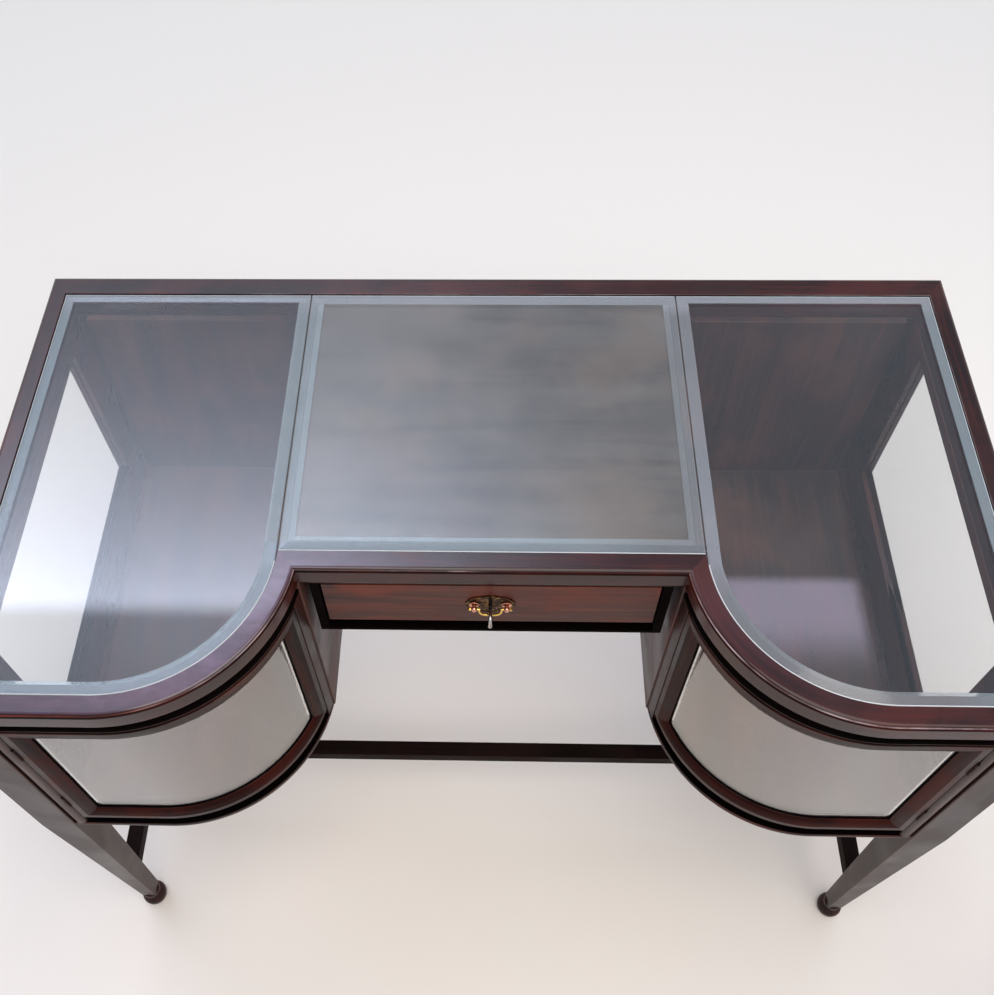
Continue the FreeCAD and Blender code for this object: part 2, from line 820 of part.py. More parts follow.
bottom_groove = bottom_board(rebate_clearance)
drawer_side = block(side_x0, side_x1, front_back_y, drawer_end, front_z0, side_top)
drawer_side = drawer_side.cut(bottom_groove)
add("drawer_sides", Part.makeCompound([drawer_side, mirrored(drawer_side)]))
add("drawer_back", block(
    -side_x0, side_x0, drawer_end - drawer_side_thickness, drawer_end,
    bottom_z1 + rebate_clearance, side_top - drawer_back_drop,
))
add("drawer_bottom", bottom_board(0))

# Lock let into the back of the drawer front
key_z = front_z1 - keyhole_drop
lock_y0 = front_back_y - lock_depth
lock_z1 = front_z1 - lock_top_gap
lock_z0 = lock_z1 - lock_height + lock_top_gap
lock_x = lock_width / 2
key_radius = key_shaft_diameter / 2
bit_y0 = lock_y0 + lock_plate + fit
bolt_y1 = front_back_y - lock_plate - fit
bolt_y0 = bolt_y1 - bolt_thickness
bolt_z1 = front_z1 - fit
bolt_z0 = bolt_z1 - bolt_length
back_way = Vec(0, 1, 0)


def keyhole(y0, y1):
    hole = cylinder(key_radius + key_clearance, Vec(0, y0, key_z), back_way, y1 - y0)
    slot = block(
        -key_bit_width / 2 - fit, key_bit_width / 2 + fit, y0, y1,
        key_z - key_radius - key_bit_length, key_z,
    )
    return hole.fuse(slot)


turn_space = cylinder(
    key_radius + key_bit_length + fit, Vec(0, lock_y0 + lock_plate, key_z), back_way,
    lock_depth - 2 * lock_plate,
)
bolt_way = block(
    -bolt_width / 2 - fit, bolt_width / 2 + fit, bolt_y0 - fit, bolt_y1 + fit,
    bolt_z0 - fit, height,
)
lock_case = block(-lock_x, lock_x, lock_y0, front_back_y, lock_z0, lock_z1)
lock_case = lock_case.cut(turn_space).cut(bolt_way)
lock_case = lock_case.cut(keyhole(lock_y0 - fit, lock_y0 + lock_plate + fit))
add("drawer_lock", lock_case)
add("lock_bolt", block(
    -bolt_width / 2, bolt_width / 2, bolt_y0, bolt_y1, bolt_z0, bolt_z1,
))

lock_seat = block(-lock_x, lock_x, lock_y0, front_back_y + fit, lock_z0, lock_z1)
drawer_front = block(-front_x, front_x, face_y, front_back_y, front_z0, front_z1)
drawer_front = drawer_front.cut(bottom_groove).cut(lock_seat).cut(bolt_way)
drawer_front = drawer_front.cut(keyhole(face_y - fit, lock_y0 + fit))
add("drawer_front", drawer_front)

# Brass plate behind the handle, shaped from a lobed middle and two pointed ends
stud_x = stud_spacing / 2
stud_z = key_z - stud_drop
plate_y0 = face_y - plate_thickness
plate_z = stud_z + fit


def plate_disc(x, z, radius):
    return cylinder(radius, Vec(x, plate_y0, z), back_way, plate_thickness)


plate = joined([
    plate_disc(0, plate_z, plate_middle_radius),
    plate_disc(plate_shoulder_x, plate_z, plate_shoulder_radius),
    plate_disc(-plate_shoulder_x, plate_z, plate_shoulder_radius),
    plate_disc(stud_x, stud_z, plate_end_radius),
    plate_disc(-stud_x, stud_z, plate_end_radius),
])
plate = plate.common(block(
    -plate_half_width, plate_half_width, plate_y0, face_y,
    plate_z - plate_height / 2, plate_z + plate_height / 2,
))
plate = plate.cut(keyhole(plate_y0 - fit, face_y + fit))

# Two turned posts riveted to the plate carry the bail, each bored across for its end
bail_y = plate_y0 - stud_length + stud_radius
stud = cylinder(stud_radius, Vec(stud_x, plate_y0, stud_z), back_way * -1, stud_length)
bore = cylinder(
    bail_wire + bail_clearance, Vec(stud_x - 2 * stud_radius, bail_y, stud_z), Vec(1, 0, 0),
    4 * stud_radius,
)
stud = stud.cut(bore)
add("handle_plate", Part.makeCompound([plate, stud, mirrored(stud)]))


def make_bail():
    # a wire with level ends in the posts and a drooping arc between them
    half = stud_x + stud_radius + bail_wire
    inner_end = Vec(stud_x - stud_radius - fit - bail_wire, bail_y, stud_z)
    outer_end = Vec(half, bail_y, stud_z)
    bottom = Vec(0, bail_y, stud_z - bail_drop)
    low = Vec(bail_knee_x, bail_y, stud_z - bail_knee_drop)
    pieces = []
    for here, there in ((outer_end, inner_end), (inner_end, low), (low, bottom)):
        run = there - here
        pieces.append(cylinder(bail_wire, here, run, run.Length))
        pieces.append(Part.makeSphere(bail_wire, there))
    half_bail = joined(pieces)
    return joined([half_bail, mirrored(half_bail)])


add("drawer_bail", make_bail())


# Key: a shaft with a ring bow standing upright and a bit inside the lock
def make_key():
    shaft_end = bit_y0 + key_bit_depth
    shaft_start = plate_y0 - key_shaft_length
    shaft = cylinder(
        key_radius, Vec(0, shaft_start, key_z), back_way, shaft_end - shaft_start
    )
    bit = block(
        -key_bit_width / 2, key_bit_width / 2, bit_y0, shaft_end,
        key_z - key_radius - key_bit_length + fit, key_z,
    )
    ring_centre = Vec(0, shaft_start - key_bow_radius, key_z)
    ring = Part.makeTorus(key_bow_radius, key_bow_wire, ring_centre, Vec(1, 0, 0))
    return joined([shaft, bit, ring])


add("key", make_key())

os.makedirs("parts", exist_ok=True)
for name, shape in parts.items():
    solids = shape.Solids
    if not shape.isValid() or not solids:
        print("check this piece:", name)
    if len(solids) == 1:
        shape = solids[0]
    shape.exportStep("parts/" + name + ".step")
print("pieces written:", len(parts))
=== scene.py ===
import math
import bmesh
import bpy
import numpy as np
from mathutils import Matrix, Vector


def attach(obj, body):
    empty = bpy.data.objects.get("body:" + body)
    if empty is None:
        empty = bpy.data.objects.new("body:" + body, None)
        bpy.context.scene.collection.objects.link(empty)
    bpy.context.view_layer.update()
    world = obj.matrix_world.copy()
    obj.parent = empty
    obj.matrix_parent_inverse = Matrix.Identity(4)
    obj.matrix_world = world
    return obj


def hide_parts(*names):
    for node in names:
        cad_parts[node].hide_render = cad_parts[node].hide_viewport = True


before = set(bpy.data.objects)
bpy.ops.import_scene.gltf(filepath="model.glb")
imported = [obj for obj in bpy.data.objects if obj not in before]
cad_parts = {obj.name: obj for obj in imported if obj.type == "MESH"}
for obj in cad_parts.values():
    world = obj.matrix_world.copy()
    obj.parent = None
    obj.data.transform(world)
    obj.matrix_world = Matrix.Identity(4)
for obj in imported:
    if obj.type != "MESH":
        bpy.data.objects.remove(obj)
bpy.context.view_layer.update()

mm = 0.001  # sizes below are in millimetres, as on a workshop drawing
print("frame loaded:", len(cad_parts), "nodes")

# Camera: solved from the straight edges of the table in the photograph
photo = {
    "width": 994, "height": 995, "sensor": 36.0, "focalPixels": 1080.50,
    "middle": (462.67, 461.99), "down": 55.528, "turn": -2.880, "roll": 1.989,
    "place": (2.20, -646.76, 1742.23), "clip": (0.05, 60),
}


def addObject(name, data):
    made = bpy.data.objects.new(name, data)
    bpy.context.scene.collection.objects.link(made)
    return made


def makeCamera():
    # rolled about its line of sight, tilted, then turned about Z; lens = focal pixels * sensor / width,
    # and a shift is the way from the frame's middle, over the width
    down, turn, roll = (math.radians(photo[k]) for k in ("down", "turn", "roll"))
    turned = (Matrix.Rotation(-turn, 4, "Z") @ Matrix.Rotation(math.pi / 2 - down, 4, "X")
              @ Matrix.Rotation(-roll, 4, "Z"))
    width, middle = photo["width"], photo["middle"]
    data = bpy.data.cameras.new("photoCamera")
    data.sensor_fit, data.sensor_width = "HORIZONTAL", photo["sensor"]
    data.lens = photo["focalPixels"] * photo["sensor"] / width
    data.shift_x = (width / 2 - middle[0]) / width
    data.shift_y = (middle[1] - photo["height"] / 2) / width
    data.clip_start, data.clip_end = photo["clip"]
    camera = addObject("photoCamera", data)
    camera.matrix_world = Matrix.Translation(Vector(photo["place"]) * mm) @ turned
    bpy.context.scene.camera = camera


makeCamera()
bpy.context.scene.view_settings.view_transform = "Standard"
print("camera placed")


# Node helpers: a value that is a socket is linked, and join() takes the tree from such a value
def put(tree, kind, inputs=None, **settings):
    made = tree.nodes.new(kind)
    for key, value in settings.items():
        setattr(made, key, value)
    for key, value in (inputs or {}).items():
        if isinstance(value, bpy.types.NodeSocket):
            tree.links.new(value, made.inputs[key])
        else:
            made.inputs[key].default_value = value
    return made


def join(kind, inputs, output=0, **settings):
    tree = next(value.id_data for value in inputs.values() if isinstance(value, bpy.types.NodeSocket))
    return put(tree, kind, inputs, **settings).outputs[output]


def maths(what, a, b=0.0):
    return join("ShaderNodeMath", {0: a, 1: b}, operation=what)


def times(product, *others):
    # the product of all the values
    for value in others:
        product = maths("MULTIPLY", product, value)
    return product


def ramp(value, low, high, toLow=0.0, toHigh=1.0, way="SMOOTHSTEP"):
    # toLow up to low, toHigh from high on, and eased between; low may be the larger of the two
    inputs = {"Value": value, "From Min": low, "From Max": high, "To Min": toLow, "To Max": toHigh}
    return join("ShaderNodeMapRange", inputs, interpolation_type=way)


def blend(share, a, b):
    # a + (b - a) * share; 6 and 7 are the node's two colours
    return join("ShaderNodeMix", {0: share, 6: a, 7: b}, 2, data_type="RGBA")


def noise(place, stretch, detail=4.0, rough=0.55, twist=0.0):
    # noise at place * stretch
    scaled = join("ShaderNodeVectorMath", {0: place, 1: stretch}, operation="MULTIPLY")
    return join("ShaderNodeTexNoise", {"Vector": scaled, "Scale": 1.0, "Detail": detail, "Roughness": rough,
                                       "Distortion": twist})


def parts(vector):
    return join("ShaderNodeSeparateXYZ", {0: vector}, slice(3))


def objectPlace(tree):
    # the point in the object's own coordinates, whole and as its parts
    place = put(tree, "ShaderNodeTexCoord").outputs["Object"]
    return place, *parts(place)


def facingUp(tree, low, high):
    # 0 to 1 as the upward part of the normal goes from low to high
    return ramp(parts(put(tree, "ShaderNodeNewGeometry").outputs["Normal"])[2], low, high)


def newMaterial(name):
    material = bpy.data.materials.new(name)
    material.use_nodes = True
    material.node_tree.nodes.clear()
    return material, material.node_tree


def coverWith(tree, inputs):
    # one Principled shader straight to the output
    put(tree, "ShaderNodeOutputMaterial", {"Surface": join("ShaderNodeBsdfPrincipled", inputs)})


def rgb(r, g, b):
    # screen colour of 0 to 255 to linear: v / 12.92 up to 0.04045, else ((v + 0.055) / 1.055) ^ 2.4
    value = np.array([r, g, b]) / 255
    linear = np.where(value <= 0.04045, value / 12.92, ((value + 0.055) / 1.055) ** 2.4)
    return (*linear.tolist(), 1.0)


# Studio: pale floor, a soft overhead lamp, pale walls all round and a ceiling lit from the left
studio = {
    # the floor is painted lighter under the table, standing in for light there, and painted darker at the
    # front right as shade
    "floorHalf": 9.0, "floorUnderPaintedLight": rgb(246, 235, 224), "floorNear": rgb(237, 228, 221),
    "floorFar": rgb(244, 237, 227), "floorRightPaintedShade": rgb(218, 208, 203), "floorRough": 0.6, "floorShine": 0.25,
    # floor distances in metres from the table's middle
    "nearOff": (0.35, 0.8), "farBack": (0.2, 1.3), "farSide": (0.6, 1.1), "farSideBack": (-0.5, -0.1),
    "rightAcross": (0.5, 0.85), "rightAhead": (-0.15, -0.5), "cloud": (0.35, 0.7, 0.0, 0.35),
    "wallColour": (0.96, 0.97, 1.0, 1.0), "wallTop": (16.0, 36.0), "lowestRise": 0.06,
    "ceilingColour": (0.88, 0.97, 1.15, 1.0), "ceiling": (-0.3, 0.35, 0.31, 0.69),
    # ceiling places are given as (across, ahead) of a level plane one unit above the eye
    "glowLevel": 5.0, "glowColour": (0.86, 0.95, 1.20, 1.0), "glowAcross": (0.2, -0.22),
    "glowFarLeft": (-1.5, -0.6), "glowHold": 0.5, "glowStart": 0.53, "glowFall": 0.17,
    "glowEdge": (0.485, 0.515), "glowBeyond": 0.22, "glowBackFall": 0.35,
    "patchLevel": 2.0, "patchColour": (0.95, 0.86, 1.20, 1.0),
    "patchAcross": ((0.19, 0.22), (0.385, 0.365)), "patchAhead": ((0.43, 0.50), (0.548, 0.532)),
    "lampSize": 2.4, "lampPlace": (0.5, -1.0, 3.2), "lampAim": (0, 0, 0.5), "lampPower": 60.0,
    "lampColour": (1.0, 0.945, 0.86),
}


def makeDome():
    # four lights: walls; a ceiling brighter ahead; a glow that falls as exp(-(ahead - start) / fall) beyond
    # its edge and exp((ahead - edge) / backFall) before it; a patch. The ceiling's place is (x / z, y / z)
    s = studio
    world = bpy.data.worlds.new("studioDome")
    bpy.context.scene.world = world
    world.use_nodes = True
    tree = world.node_tree
    tree.nodes.clear()
    x, y, z = parts(put(tree, "ShaderNodeTexCoord").outputs["Generated"])
    rise = maths("MAXIMUM", z, s["lowestRise"])
    across, ahead = (maths("DIVIDE", part, rise) for part in (x, y))

    def fall(distance, reach):
        return maths("EXPONENT", maths("DIVIDE", distance, reach))

    upper = ramp(z, *(math.sin(math.radians(angle)) for angle in s["wallTop"]))
    past = maths("SUBTRACT", maths("MAXIMUM", ahead, s["glowHold"]), s["glowStart"])
    near = maths("SUBTRACT", maths("MINIMUM", ahead, s["glowEdge"][0]), s["glowEdge"][0])
    glow = times(fall(past, -s["glowFall"]), ramp(across, *s["glowAcross"]),
                 ramp(across, *s["glowFarLeft"]), ramp(ahead, *s["glowEdge"], s["glowBeyond"], 1.0),
                 fall(near, s["glowBackFall"]), s["glowLevel"])
    patch = times(s["patchLevel"], *(ramp(across, *limits) for limits in s["patchAcross"]),
                  *(ramp(ahead, *limits) for limits in s["patchAhead"]))
    ceiling = times(upper, ramp(y, *s["ceiling"]))
    levels = {"wall": maths("SUBTRACT", 1.0, upper), "ceiling": ceiling, "glow": glow, "patch": patch}
    total, *lights = (join("ShaderNodeBackground", {"Color": s[part + "Colour"], "Strength": level})
                      for part, level in levels.items())
    for light in lights:
        total = join("ShaderNodeAddShader", {0: total, 1: light})
    put(tree, "ShaderNodeOutputWorld", {"Surface": total})


def makeFloor():
    # painted light under the table, the colour near it, painted shade at the front right and the colour far
    # off, blended by distance and some noise
    s, half = studio, studio["floorHalf"]
    mesh = bpy.data.meshes.new("studioFloor")
    mesh.from_pydata([(-half, -half, 0), (half, -half, 0), (half, half, 0), (-half, half, 0)], [],
                     [(0, 1, 2, 3)])
    floor = addObject("studioFloor", mesh)
    material, tree = newMaterial("paleFloor")
    place, x, y, _ = objectPlace(tree)
    off = join("ShaderNodeVectorMath", {0: place}, "Value", operation="LENGTH")
    side = times(ramp(maths("ABSOLUTE", x), *s["farSide"]), ramp(y, *s["farSideBack"]))
    far = maths("MAXIMUM", ramp(y, *s["farBack"]), side)
    tint = blend(ramp(off, *s["nearOff"]), s["floorUnderPaintedLight"], s["floorNear"])
    right = times(ramp(x, *s["rightAcross"]), ramp(y, *s["rightAhead"]))
    tint = blend(right, tint, s["floorRightPaintedShade"])
    for share in (far, ramp(noise(place, (3.0, 3.0, 3.0), 6.0, 0.6), *s["cloud"])):
        tint = blend(share, tint, s["floorFar"])
    coverWith(tree, {"Base Color": tint, "Roughness": s["floorRough"], "Specular IOR Level": s["floorShine"]})
    mesh.materials.append(material)


def makeLamp():
    # a square lamp that faces the point it is aimed at
    data = bpy.data.lights.new("overheadLamp", "AREA")
    data.shape, data.size, data.energy = "SQUARE", studio["lampSize"], studio["lampPower"]
    data.color = studio["lampColour"]
    lamp = addObject("overheadLamp", data)
    lamp.location = studio["lampPlace"]
    lamp.rotation_mode = "QUATERNION"
    lamp.rotation_quaternion = (Vector(studio["lampAim"]) - lamp.location).to_track_quat("-Z", "Y")


makeDome()
makeFloor()
makeLamp()
print("studio lit")


# Shared effects
def newGroup(name, inputs, outputs):
    # the kind of each socket is given by its title
    group = bpy.data.node_groups.new(name, "ShaderNodeTree")
    for way, sockets in (("INPUT", inputs), ("OUTPUT", outputs)):
        for title, kind in sockets.items():
            group.interface.new_socket(title, in_out=way, socket_type="NodeSocket" + kind)
    return group, put(group, "NodeGroupInput").outputs


def grainGroup():
    # broad figure, streaks along the first coordinate, open pores and old blotches: each noise is ramped to
    # a share, by which the colour goes to the warm, bright or deep tone
    group, given = newGroup("woodGrain", {"Place": "Vector", "Deep": "Color", "Warm": "Color",
                                          "Bright": "Color", "Figure": "Float", "Mottle": "Float"},
                            {"Color": "Color", "Height": "Float", "Haze": "Float"})
    place, deep, bright = given["Place"], given["Deep"], given["Bright"]
    broad = noise(place, (2.2, 26, 26), 3.0, 0.5, 0.8)
    streak = noise(place, (7, 210, 210), 6.0, 0.62, 0.4)
    blotch = noise(place, (9, 11, 11), 4.0, 0.55, 0.5)
    pore = ramp(noise(place, (55, 1500, 1500), 2.0, 0.5), 0.60, 0.72)
    colour = blend(ramp(broad, 0.36, 0.66), deep, given["Warm"])
    for share, amount, tone in ((ramp(streak, 0.42, 0.72), given["Figure"], bright),
                                (ramp(blotch, 0.47, 0.68), given["Mottle"], bright),
                                (ramp(blotch, 0.46, 0.28), given["Mottle"], deep),
                                (pore, 0.45, deep)):
        colour = blend(times(share, amount), colour, tone)
    height = maths("SUBTRACT", times(streak, 0.35), times(pore, 0.5))
    haze = ramp(blotch, 0.35, 0.65)
    put(group, "NodeGroupOutput", {"Color": colour, "Height": height, "Haze": haze})
    return group


def wearAndHighlightGroup():
    # polish rubbed off along an arris, which with a pale edge tone is also a painted highlight line: the edge
    # attribute's ramp * a noise's ramp * amount
    group, given = newGroup("edgeWearAndHighlight", {"Edge": "Float", "Place": "Vector", "Amount": "Float"},
                            {"Mask": "Float"})
    patches = noise(given["Place"], (14, 60, 60), 5.0, 0.65)
    broken = ramp(patches, 0.40, 0.62, 0.15, 1.0)
    mask = times(broken, ramp(given["Edge"], 0.35, 0.95), given["Amount"])
    put(group, "NodeGroupOutput", {"Mask": mask})
    return group


def dustGroup():
    # fine dust on faces that look up: (0.6 * film + 0.7 * specks) * facing up * amount
    group, given = newGroup("fineDust", {"Place": "Vector", "Amount": "Float"}, {"Mask": "Float"})
    film = ramp(noise(given["Place"], (6, 6, 6), 5.0, 0.6), 0.3, 0.75)
    specks = ramp(noise(given["Place"], (900, 900, 900), 1.0, 0.4), 0.70, 0.78)
    both = maths("ADD", times(film, 0.6), times(specks, 0.7))
    put(group, "NodeGroupOutput", {"Mask": times(both, facingUp(group, 0.3, 1.0), given["Amount"])})
    return group


effects = {"grain": grainGroup(), "wearAndHighlight": wearAndHighlightGroup(), "dust": dustGroup()}


def useGroup(tree, name, **inputs):
    return put(tree, "ShaderNodeGroup", inputs, node_tree=effects[name]).outputs


def attribute(tree, name, output):
    return put(tree, "ShaderNodeAttribute", attribute_name=name, attribute_type="GEOMETRY").outputs[output]


def readTable(terms, rows):
    # each row becomes a dictionary with the table's terms
    return {name: dict(zip(terms, row)) for name, row in rows.items()}


# Wood: four tones, then how much of each effect, the roughness range, shine, and depth of the grain
woods = readTable(
    ("deep", "warm", "bright", "wornAndHighlight", "figure", "mottle", "wearAndHighlight", "dust", "rough", "shine", "coatRough",
     "bump"), {
        # the pale fourth tone of the polished top paints a highlight line along its arrises
        "polishedTop": ((25, 8, 8), (44, 14, 14), (84, 28, 20), (176, 158, 160),
                        0.4, 0.4, 0.9, 0.05, (0.13, 0.26), 0.26, 0.08, 0.08),
        "legWood": ((26, 15, 13), (44, 25, 21), (66, 38, 30), (118, 66, 48),
                    0.3, 0.2, 0.35, 0.05, (0.28, 0.40), 0.28, 0.16, 0.12),
        "polishedFrame": ((26, 11, 10), (58, 26, 20), (94, 44, 30), (132, 62, 40),
                          0.4, 0.45, 0.35, 0.05, (0.26, 0.45), 0.28, 0.16, 0.2),
        # the pale fourth tone of the case wood paints highlight lines on beads, posts and door edges, besides
        # wear
        "caseWood": ((13, 5, 4), (38, 14, 10), (78, 32, 22), (124, 100, 90),
                     0.45, 0.5, 0.4, 0.03, (0.3, 0.44), 0.2, 0.2, 0.2),
        # painted shade: a darker copy of the case wood for the door's slopes and the faces under the top's
        # arris
        "shadedMouldWood": ((14, 3, 2), (36, 9, 5), (72, 21, 11), (124, 100, 90),
                      0.5, 0.5, 0.25, 0.02, (0.3, 0.44), 0.05, 0.2, 0.2),
        # painted shade: darker wood for the stretchers under the table
        "shadedStretcherWood": ((9, 3, 2), (18, 6, 4), (38, 16, 10), (84, 40, 26),
                          0.4, 0.4, 0.25, 0.03, (0.45, 0.6), 0.05, 0.3, 0.2),
        # painted shade: a near-black wood for grooves, gaps, recesses, lips and the rebate against the glass
        "paintedShadeWood": ((5, 2, 2), (9, 4, 4), (15, 7, 6), (20, 9, 7),
                      0.3, 0.3, 0.2, 0.0, (0.65, 0.8), 0.02, 0.3, 0.2),
        "darkPanel": ((34, 17, 16), (66, 33, 28), (100, 56, 44), (110, 62, 46),
                      0.35, 0.55, 0.4, 0.2, (0.36, 0.55), 0.3, 0.3, 0.3),
        "drawerFront": ((38, 13, 10), (80, 32, 22), (118, 54, 36), (140, 70, 46),
                        0.5, 0.6, 0.5, 0.05, (0.3, 0.48), 0.2, 0.16, 0.25),
        "plainInside": ((98, 70, 46), (140, 104, 70), (168, 130, 92), (180, 146, 108),
                        0.5, 0.3, 0.4, 0.2, (0.5, 0.65), 0.4, 0.3, 0.4),
        "dustyPanel": ((58, 55, 56), (78, 74, 74), (100, 84, 76), (120, 96, 76),
                       0.2, 0.6, 0.4, 0.45, (0.5, 0.7), 0.3, 0.3, 0.15),
    })
woodDust = {"tone": rgb(150, 140, 134), "rougher": 0.3, "grainDepth": 0.0004}
# only on the polished top: wax on faces that look up, a painted bluish sheen on the left bow, browner wear
# far left
topPolish = {
    "wax": 0.85, "waxRight": 0.14, "waxAcross": (-0.25, 0.25), "waxFacing": (0.75, 0.98),
    "paintedSheen": rgb(118, 92, 118), "paintedSheenShare": 0.5, "paintedSheenStart": (-0.02, -0.26),
    "paintedSheenEnd": (-0.50, -0.27, 0.42, 1.0), "paintedSheenFront": (-0.04, -0.14), "paintedSheenFacing": (0.8, 0.98),
    "wornLeft": rgb(116, 42, 24), "wornAcross": (-0.26, -0.36),
}


def paintedSheenMask(tree):
    # painted sheen, most at the left bow's corner: ramps across * ramp ahead * cloud * facing up * share
    p = topPolish
    place, x, y, _ = objectPlace(tree)
    cloud = ramp(noise(place, (26, 60, 26), 6.0, 0.65, 0.6), 0.35, 0.7, 0.62, 1.2)
    return times(ramp(x, *p["paintedSheenStart"]), ramp(x, *p["paintedSheenEnd"]),
                 ramp(y, *p["paintedSheenFront"]), cloud, facingUp(tree, *p["paintedSheenFacing"]), p["paintedSheenShare"])


def woodMaterial(name):
    # grain, then the painted sheen, rubbed edges with their painted highlight lines and dust over it, each by
    # its mask; roughness goes with the haze and the dust
    look, p = woods[name], topPolish
    deep, warm, bright, wornAndHighlight = (rgb(*look[tone]) for tone in ("deep", "warm", "bright", "wornAndHighlight"))
    material, tree = newMaterial(name)
    place, edge = attribute(tree, "grainPlace", "Vector"), attribute(tree, "edgeShare", "Fac")
    grain = useGroup(tree, "grain", Place=place, Deep=deep, Warm=warm, Bright=bright,
                     Figure=look["figure"], Mottle=look["mottle"])
    wearAndHighlight = useGroup(tree, "wearAndHighlight", Edge=edge, Place=place, Amount=look["wearAndHighlight"])["Mask"]
    dust = useGroup(tree, "dust", Place=place, Amount=look["dust"])["Mask"]
    colour, wax = grain["Color"], 0.0
    if name == "polishedTop":
        x = objectPlace(tree)[1]
        wornAndHighlight = blend(ramp(x, *p["wornAcross"]), wornAndHighlight, p["wornLeft"])
        colour = blend(paintedSheenMask(tree), colour, p["paintedSheen"])
        wax = times(facingUp(tree, *p["waxFacing"]),
                    ramp(x, *p["waxAcross"], p["wax"], p["waxRight"]))
    for mask, tone in ((wearAndHighlight, wornAndHighlight), (dust, woodDust["tone"])):
        colour = blend(mask, colour, tone)
    rough = ramp(grain["Haze"], 0.0, 1.0, *look["rough"], way="LINEAR")
    rough = maths("ADD", rough, times(dust, woodDust["rougher"]))
    bump = join("ShaderNodeBump", {"Height": grain["Height"], "Strength": look["bump"],
                                   "Distance": woodDust["grainDepth"]})
    coverWith(tree, {"Base Color": colour, "Roughness": rough, "Normal": bump, "Coat Weight": wax,
                     "Specular IOR Level": look["shine"], "Coat Roughness": look["coatRough"]})
    return material


# Glass: tint, roughness range, index of refraction and the share that lets light through
glasses = readTable(("tint", "rough", "index", "clear"), {
    "topGlass": ((0.985, 0.995, 0.99, 1), (0.0, 0.02), 1.52, 1.0),
    "groundBevel": ((0.48, 0.58, 0.63, 1), (0.10, 0.22), 1.52, 0.70),
    "groundEdge": ((0.74, 0.78, 0.80, 1), (0.25, 0.40), 1.52, 0.15),
    "sideGlass": ((0.985, 0.997, 0.99, 1), (0.0, 0.02), 1.5, 1.0),
    # painted shade: darker glass for the door pane's edges next to the frame
    "shadedDoorBevel": ((0.80, 0.80, 0.79, 1), (0.0, 0.04), 1.5, 1.0),
    "doorGlass": ((0.98, 0.985, 0.98, 1), (0.0, 0.04), 1.82, 1.0),
})
straightThrough = (0.94, 0.96, 0.955, 1)
# painted reflection: the ground bevel is darker on the right and paler along the back
bevelReflectionTints = {"right": (0.39, 0.42, 0.45, 1), "rightFrom": (0.08, 0.21), "rightTo": (0.50, 0.42),
              "back": (0.62, 0.68, 0.74, 1), "backFrom": (0.215, 0.245)}


def glassMaterial(name):
    # lamp light and bounced light go straight through, so the case isn't black inside
    look, b = glasses[name], bevelReflectionTints
    material, tree = newMaterial(name)
    place, x, y, _ = objectPlace(tree)
    rough = ramp(noise(place, (11, 11, 11), 3.0, 0.5, 0.6), 0.45, 0.75, *look["rough"])
    tint = look["tint"]
    if name == "groundBevel":
        right = times(ramp(x, *b["rightFrom"]), ramp(x, *b["rightTo"]))
        tint = blend(right, tint, b["right"])
        tint = blend(ramp(y, *b["backFrom"]), tint, b["back"])
    shader = join("ShaderNodeBsdfPrincipled", {
        "Base Color": tint, "Roughness": rough, "IOR": look["index"],
        "Transmission Weight": look["clear"], "Metallic": 0.0,
    })
    clear = put(tree, "ShaderNodeBsdfTransparent", {"Color": straightThrough}).outputs[0]
    path = put(tree, "ShaderNodeLightPath").outputs
    for ray in ("Is Diffuse Ray", "Is Shadow Ray"):
        shader = join("ShaderNodeMixShader", {0: path[ray], 1: shader, 2: clear})
    put(tree, "ShaderNodeOutputMaterial", {"Surface": shader})
    return material


# Metal: clean and dull tones, the noise range in which it is dull, roughness range, rubbed edges
metals = readTable(("clean", "dull", "cover", "rough", "edge"), {
    "agedBrass": ((140, 104, 60), (52, 36, 24), (0.30, 0.56), (0.22, 0.5), 0.8),
    "darkHinge": ((84, 62, 44), (38, 26, 20), (0.25, 0.5), (0.35, 0.6), 0.3),
    "copperStud": ((222, 160, 138), (110, 66, 52), (0.5, 0.75), (0.16, 0.4), 0.6),
    "brightBrass": ((226, 188, 104), (128, 96, 44), (0.52, 0.8), (0.14, 0.35), 0.6),
    "darkSteel": ((120, 112, 104), (36, 30, 27), (0.3, 0.6), (0.25, 0.5), 0.5),
    "wornSteel": ((196, 190, 182), (96, 84, 74), (0.45, 0.7), (0.2, 0.45), 0.6),
})


def metalMaterial(name):
    # covered = tarnish * (1 - rubbed edge); colour and roughness go from clean to dull with it
    look = metals[name]
    material, tree = newMaterial(name)
    place = attribute(tree, "grainPlace", "Vector")
    tarnish = ramp(noise(place, (260, 260, 260), 6.0, 0.65, 0.4), *look["cover"])
    rubbed = times(ramp(attribute(tree, "edgeShare", "Fac"), 0.2, 0.9), look["edge"])
    covered = times(tarnish, maths("SUBTRACT", 1.0, rubbed))
    fine = noise(place, (900, 900, 900), 3.0, 0.6)
    coverWith(tree, {
        "Base Color": blend(covered, rgb(*look["clean"]), rgb(*look["dull"])), "Metallic": 1.0,
        "Roughness": ramp(covered, 0.0, 1.0, *look["rough"], way="LINEAR"),
        "Normal": join("ShaderNodeBump", {"Height": fine, "Strength": 0.25, "Distance": 0.0002}),
    })
    return material


materials = {name: make(name) for make, looks in ((woodMaterial, woods), (glassMaterial, glasses),
                                                  (metalMaterial, metals)) for name in looks}
print("materials mixed:", len(materials))


# Mesh helpers. A piece is built from rings of points, then its sharp edges are eased
sides = {"right": 1, "left": -1}
joins = {"sameSpot": 2e-6, "flat": 0.5, "sharp": 30, "easeSteps": 2, "round": 0.5}
grainUp = [2, 0, 1]  # grain coordinates of an upright board, whose long way is Z
pieceCount = [0]


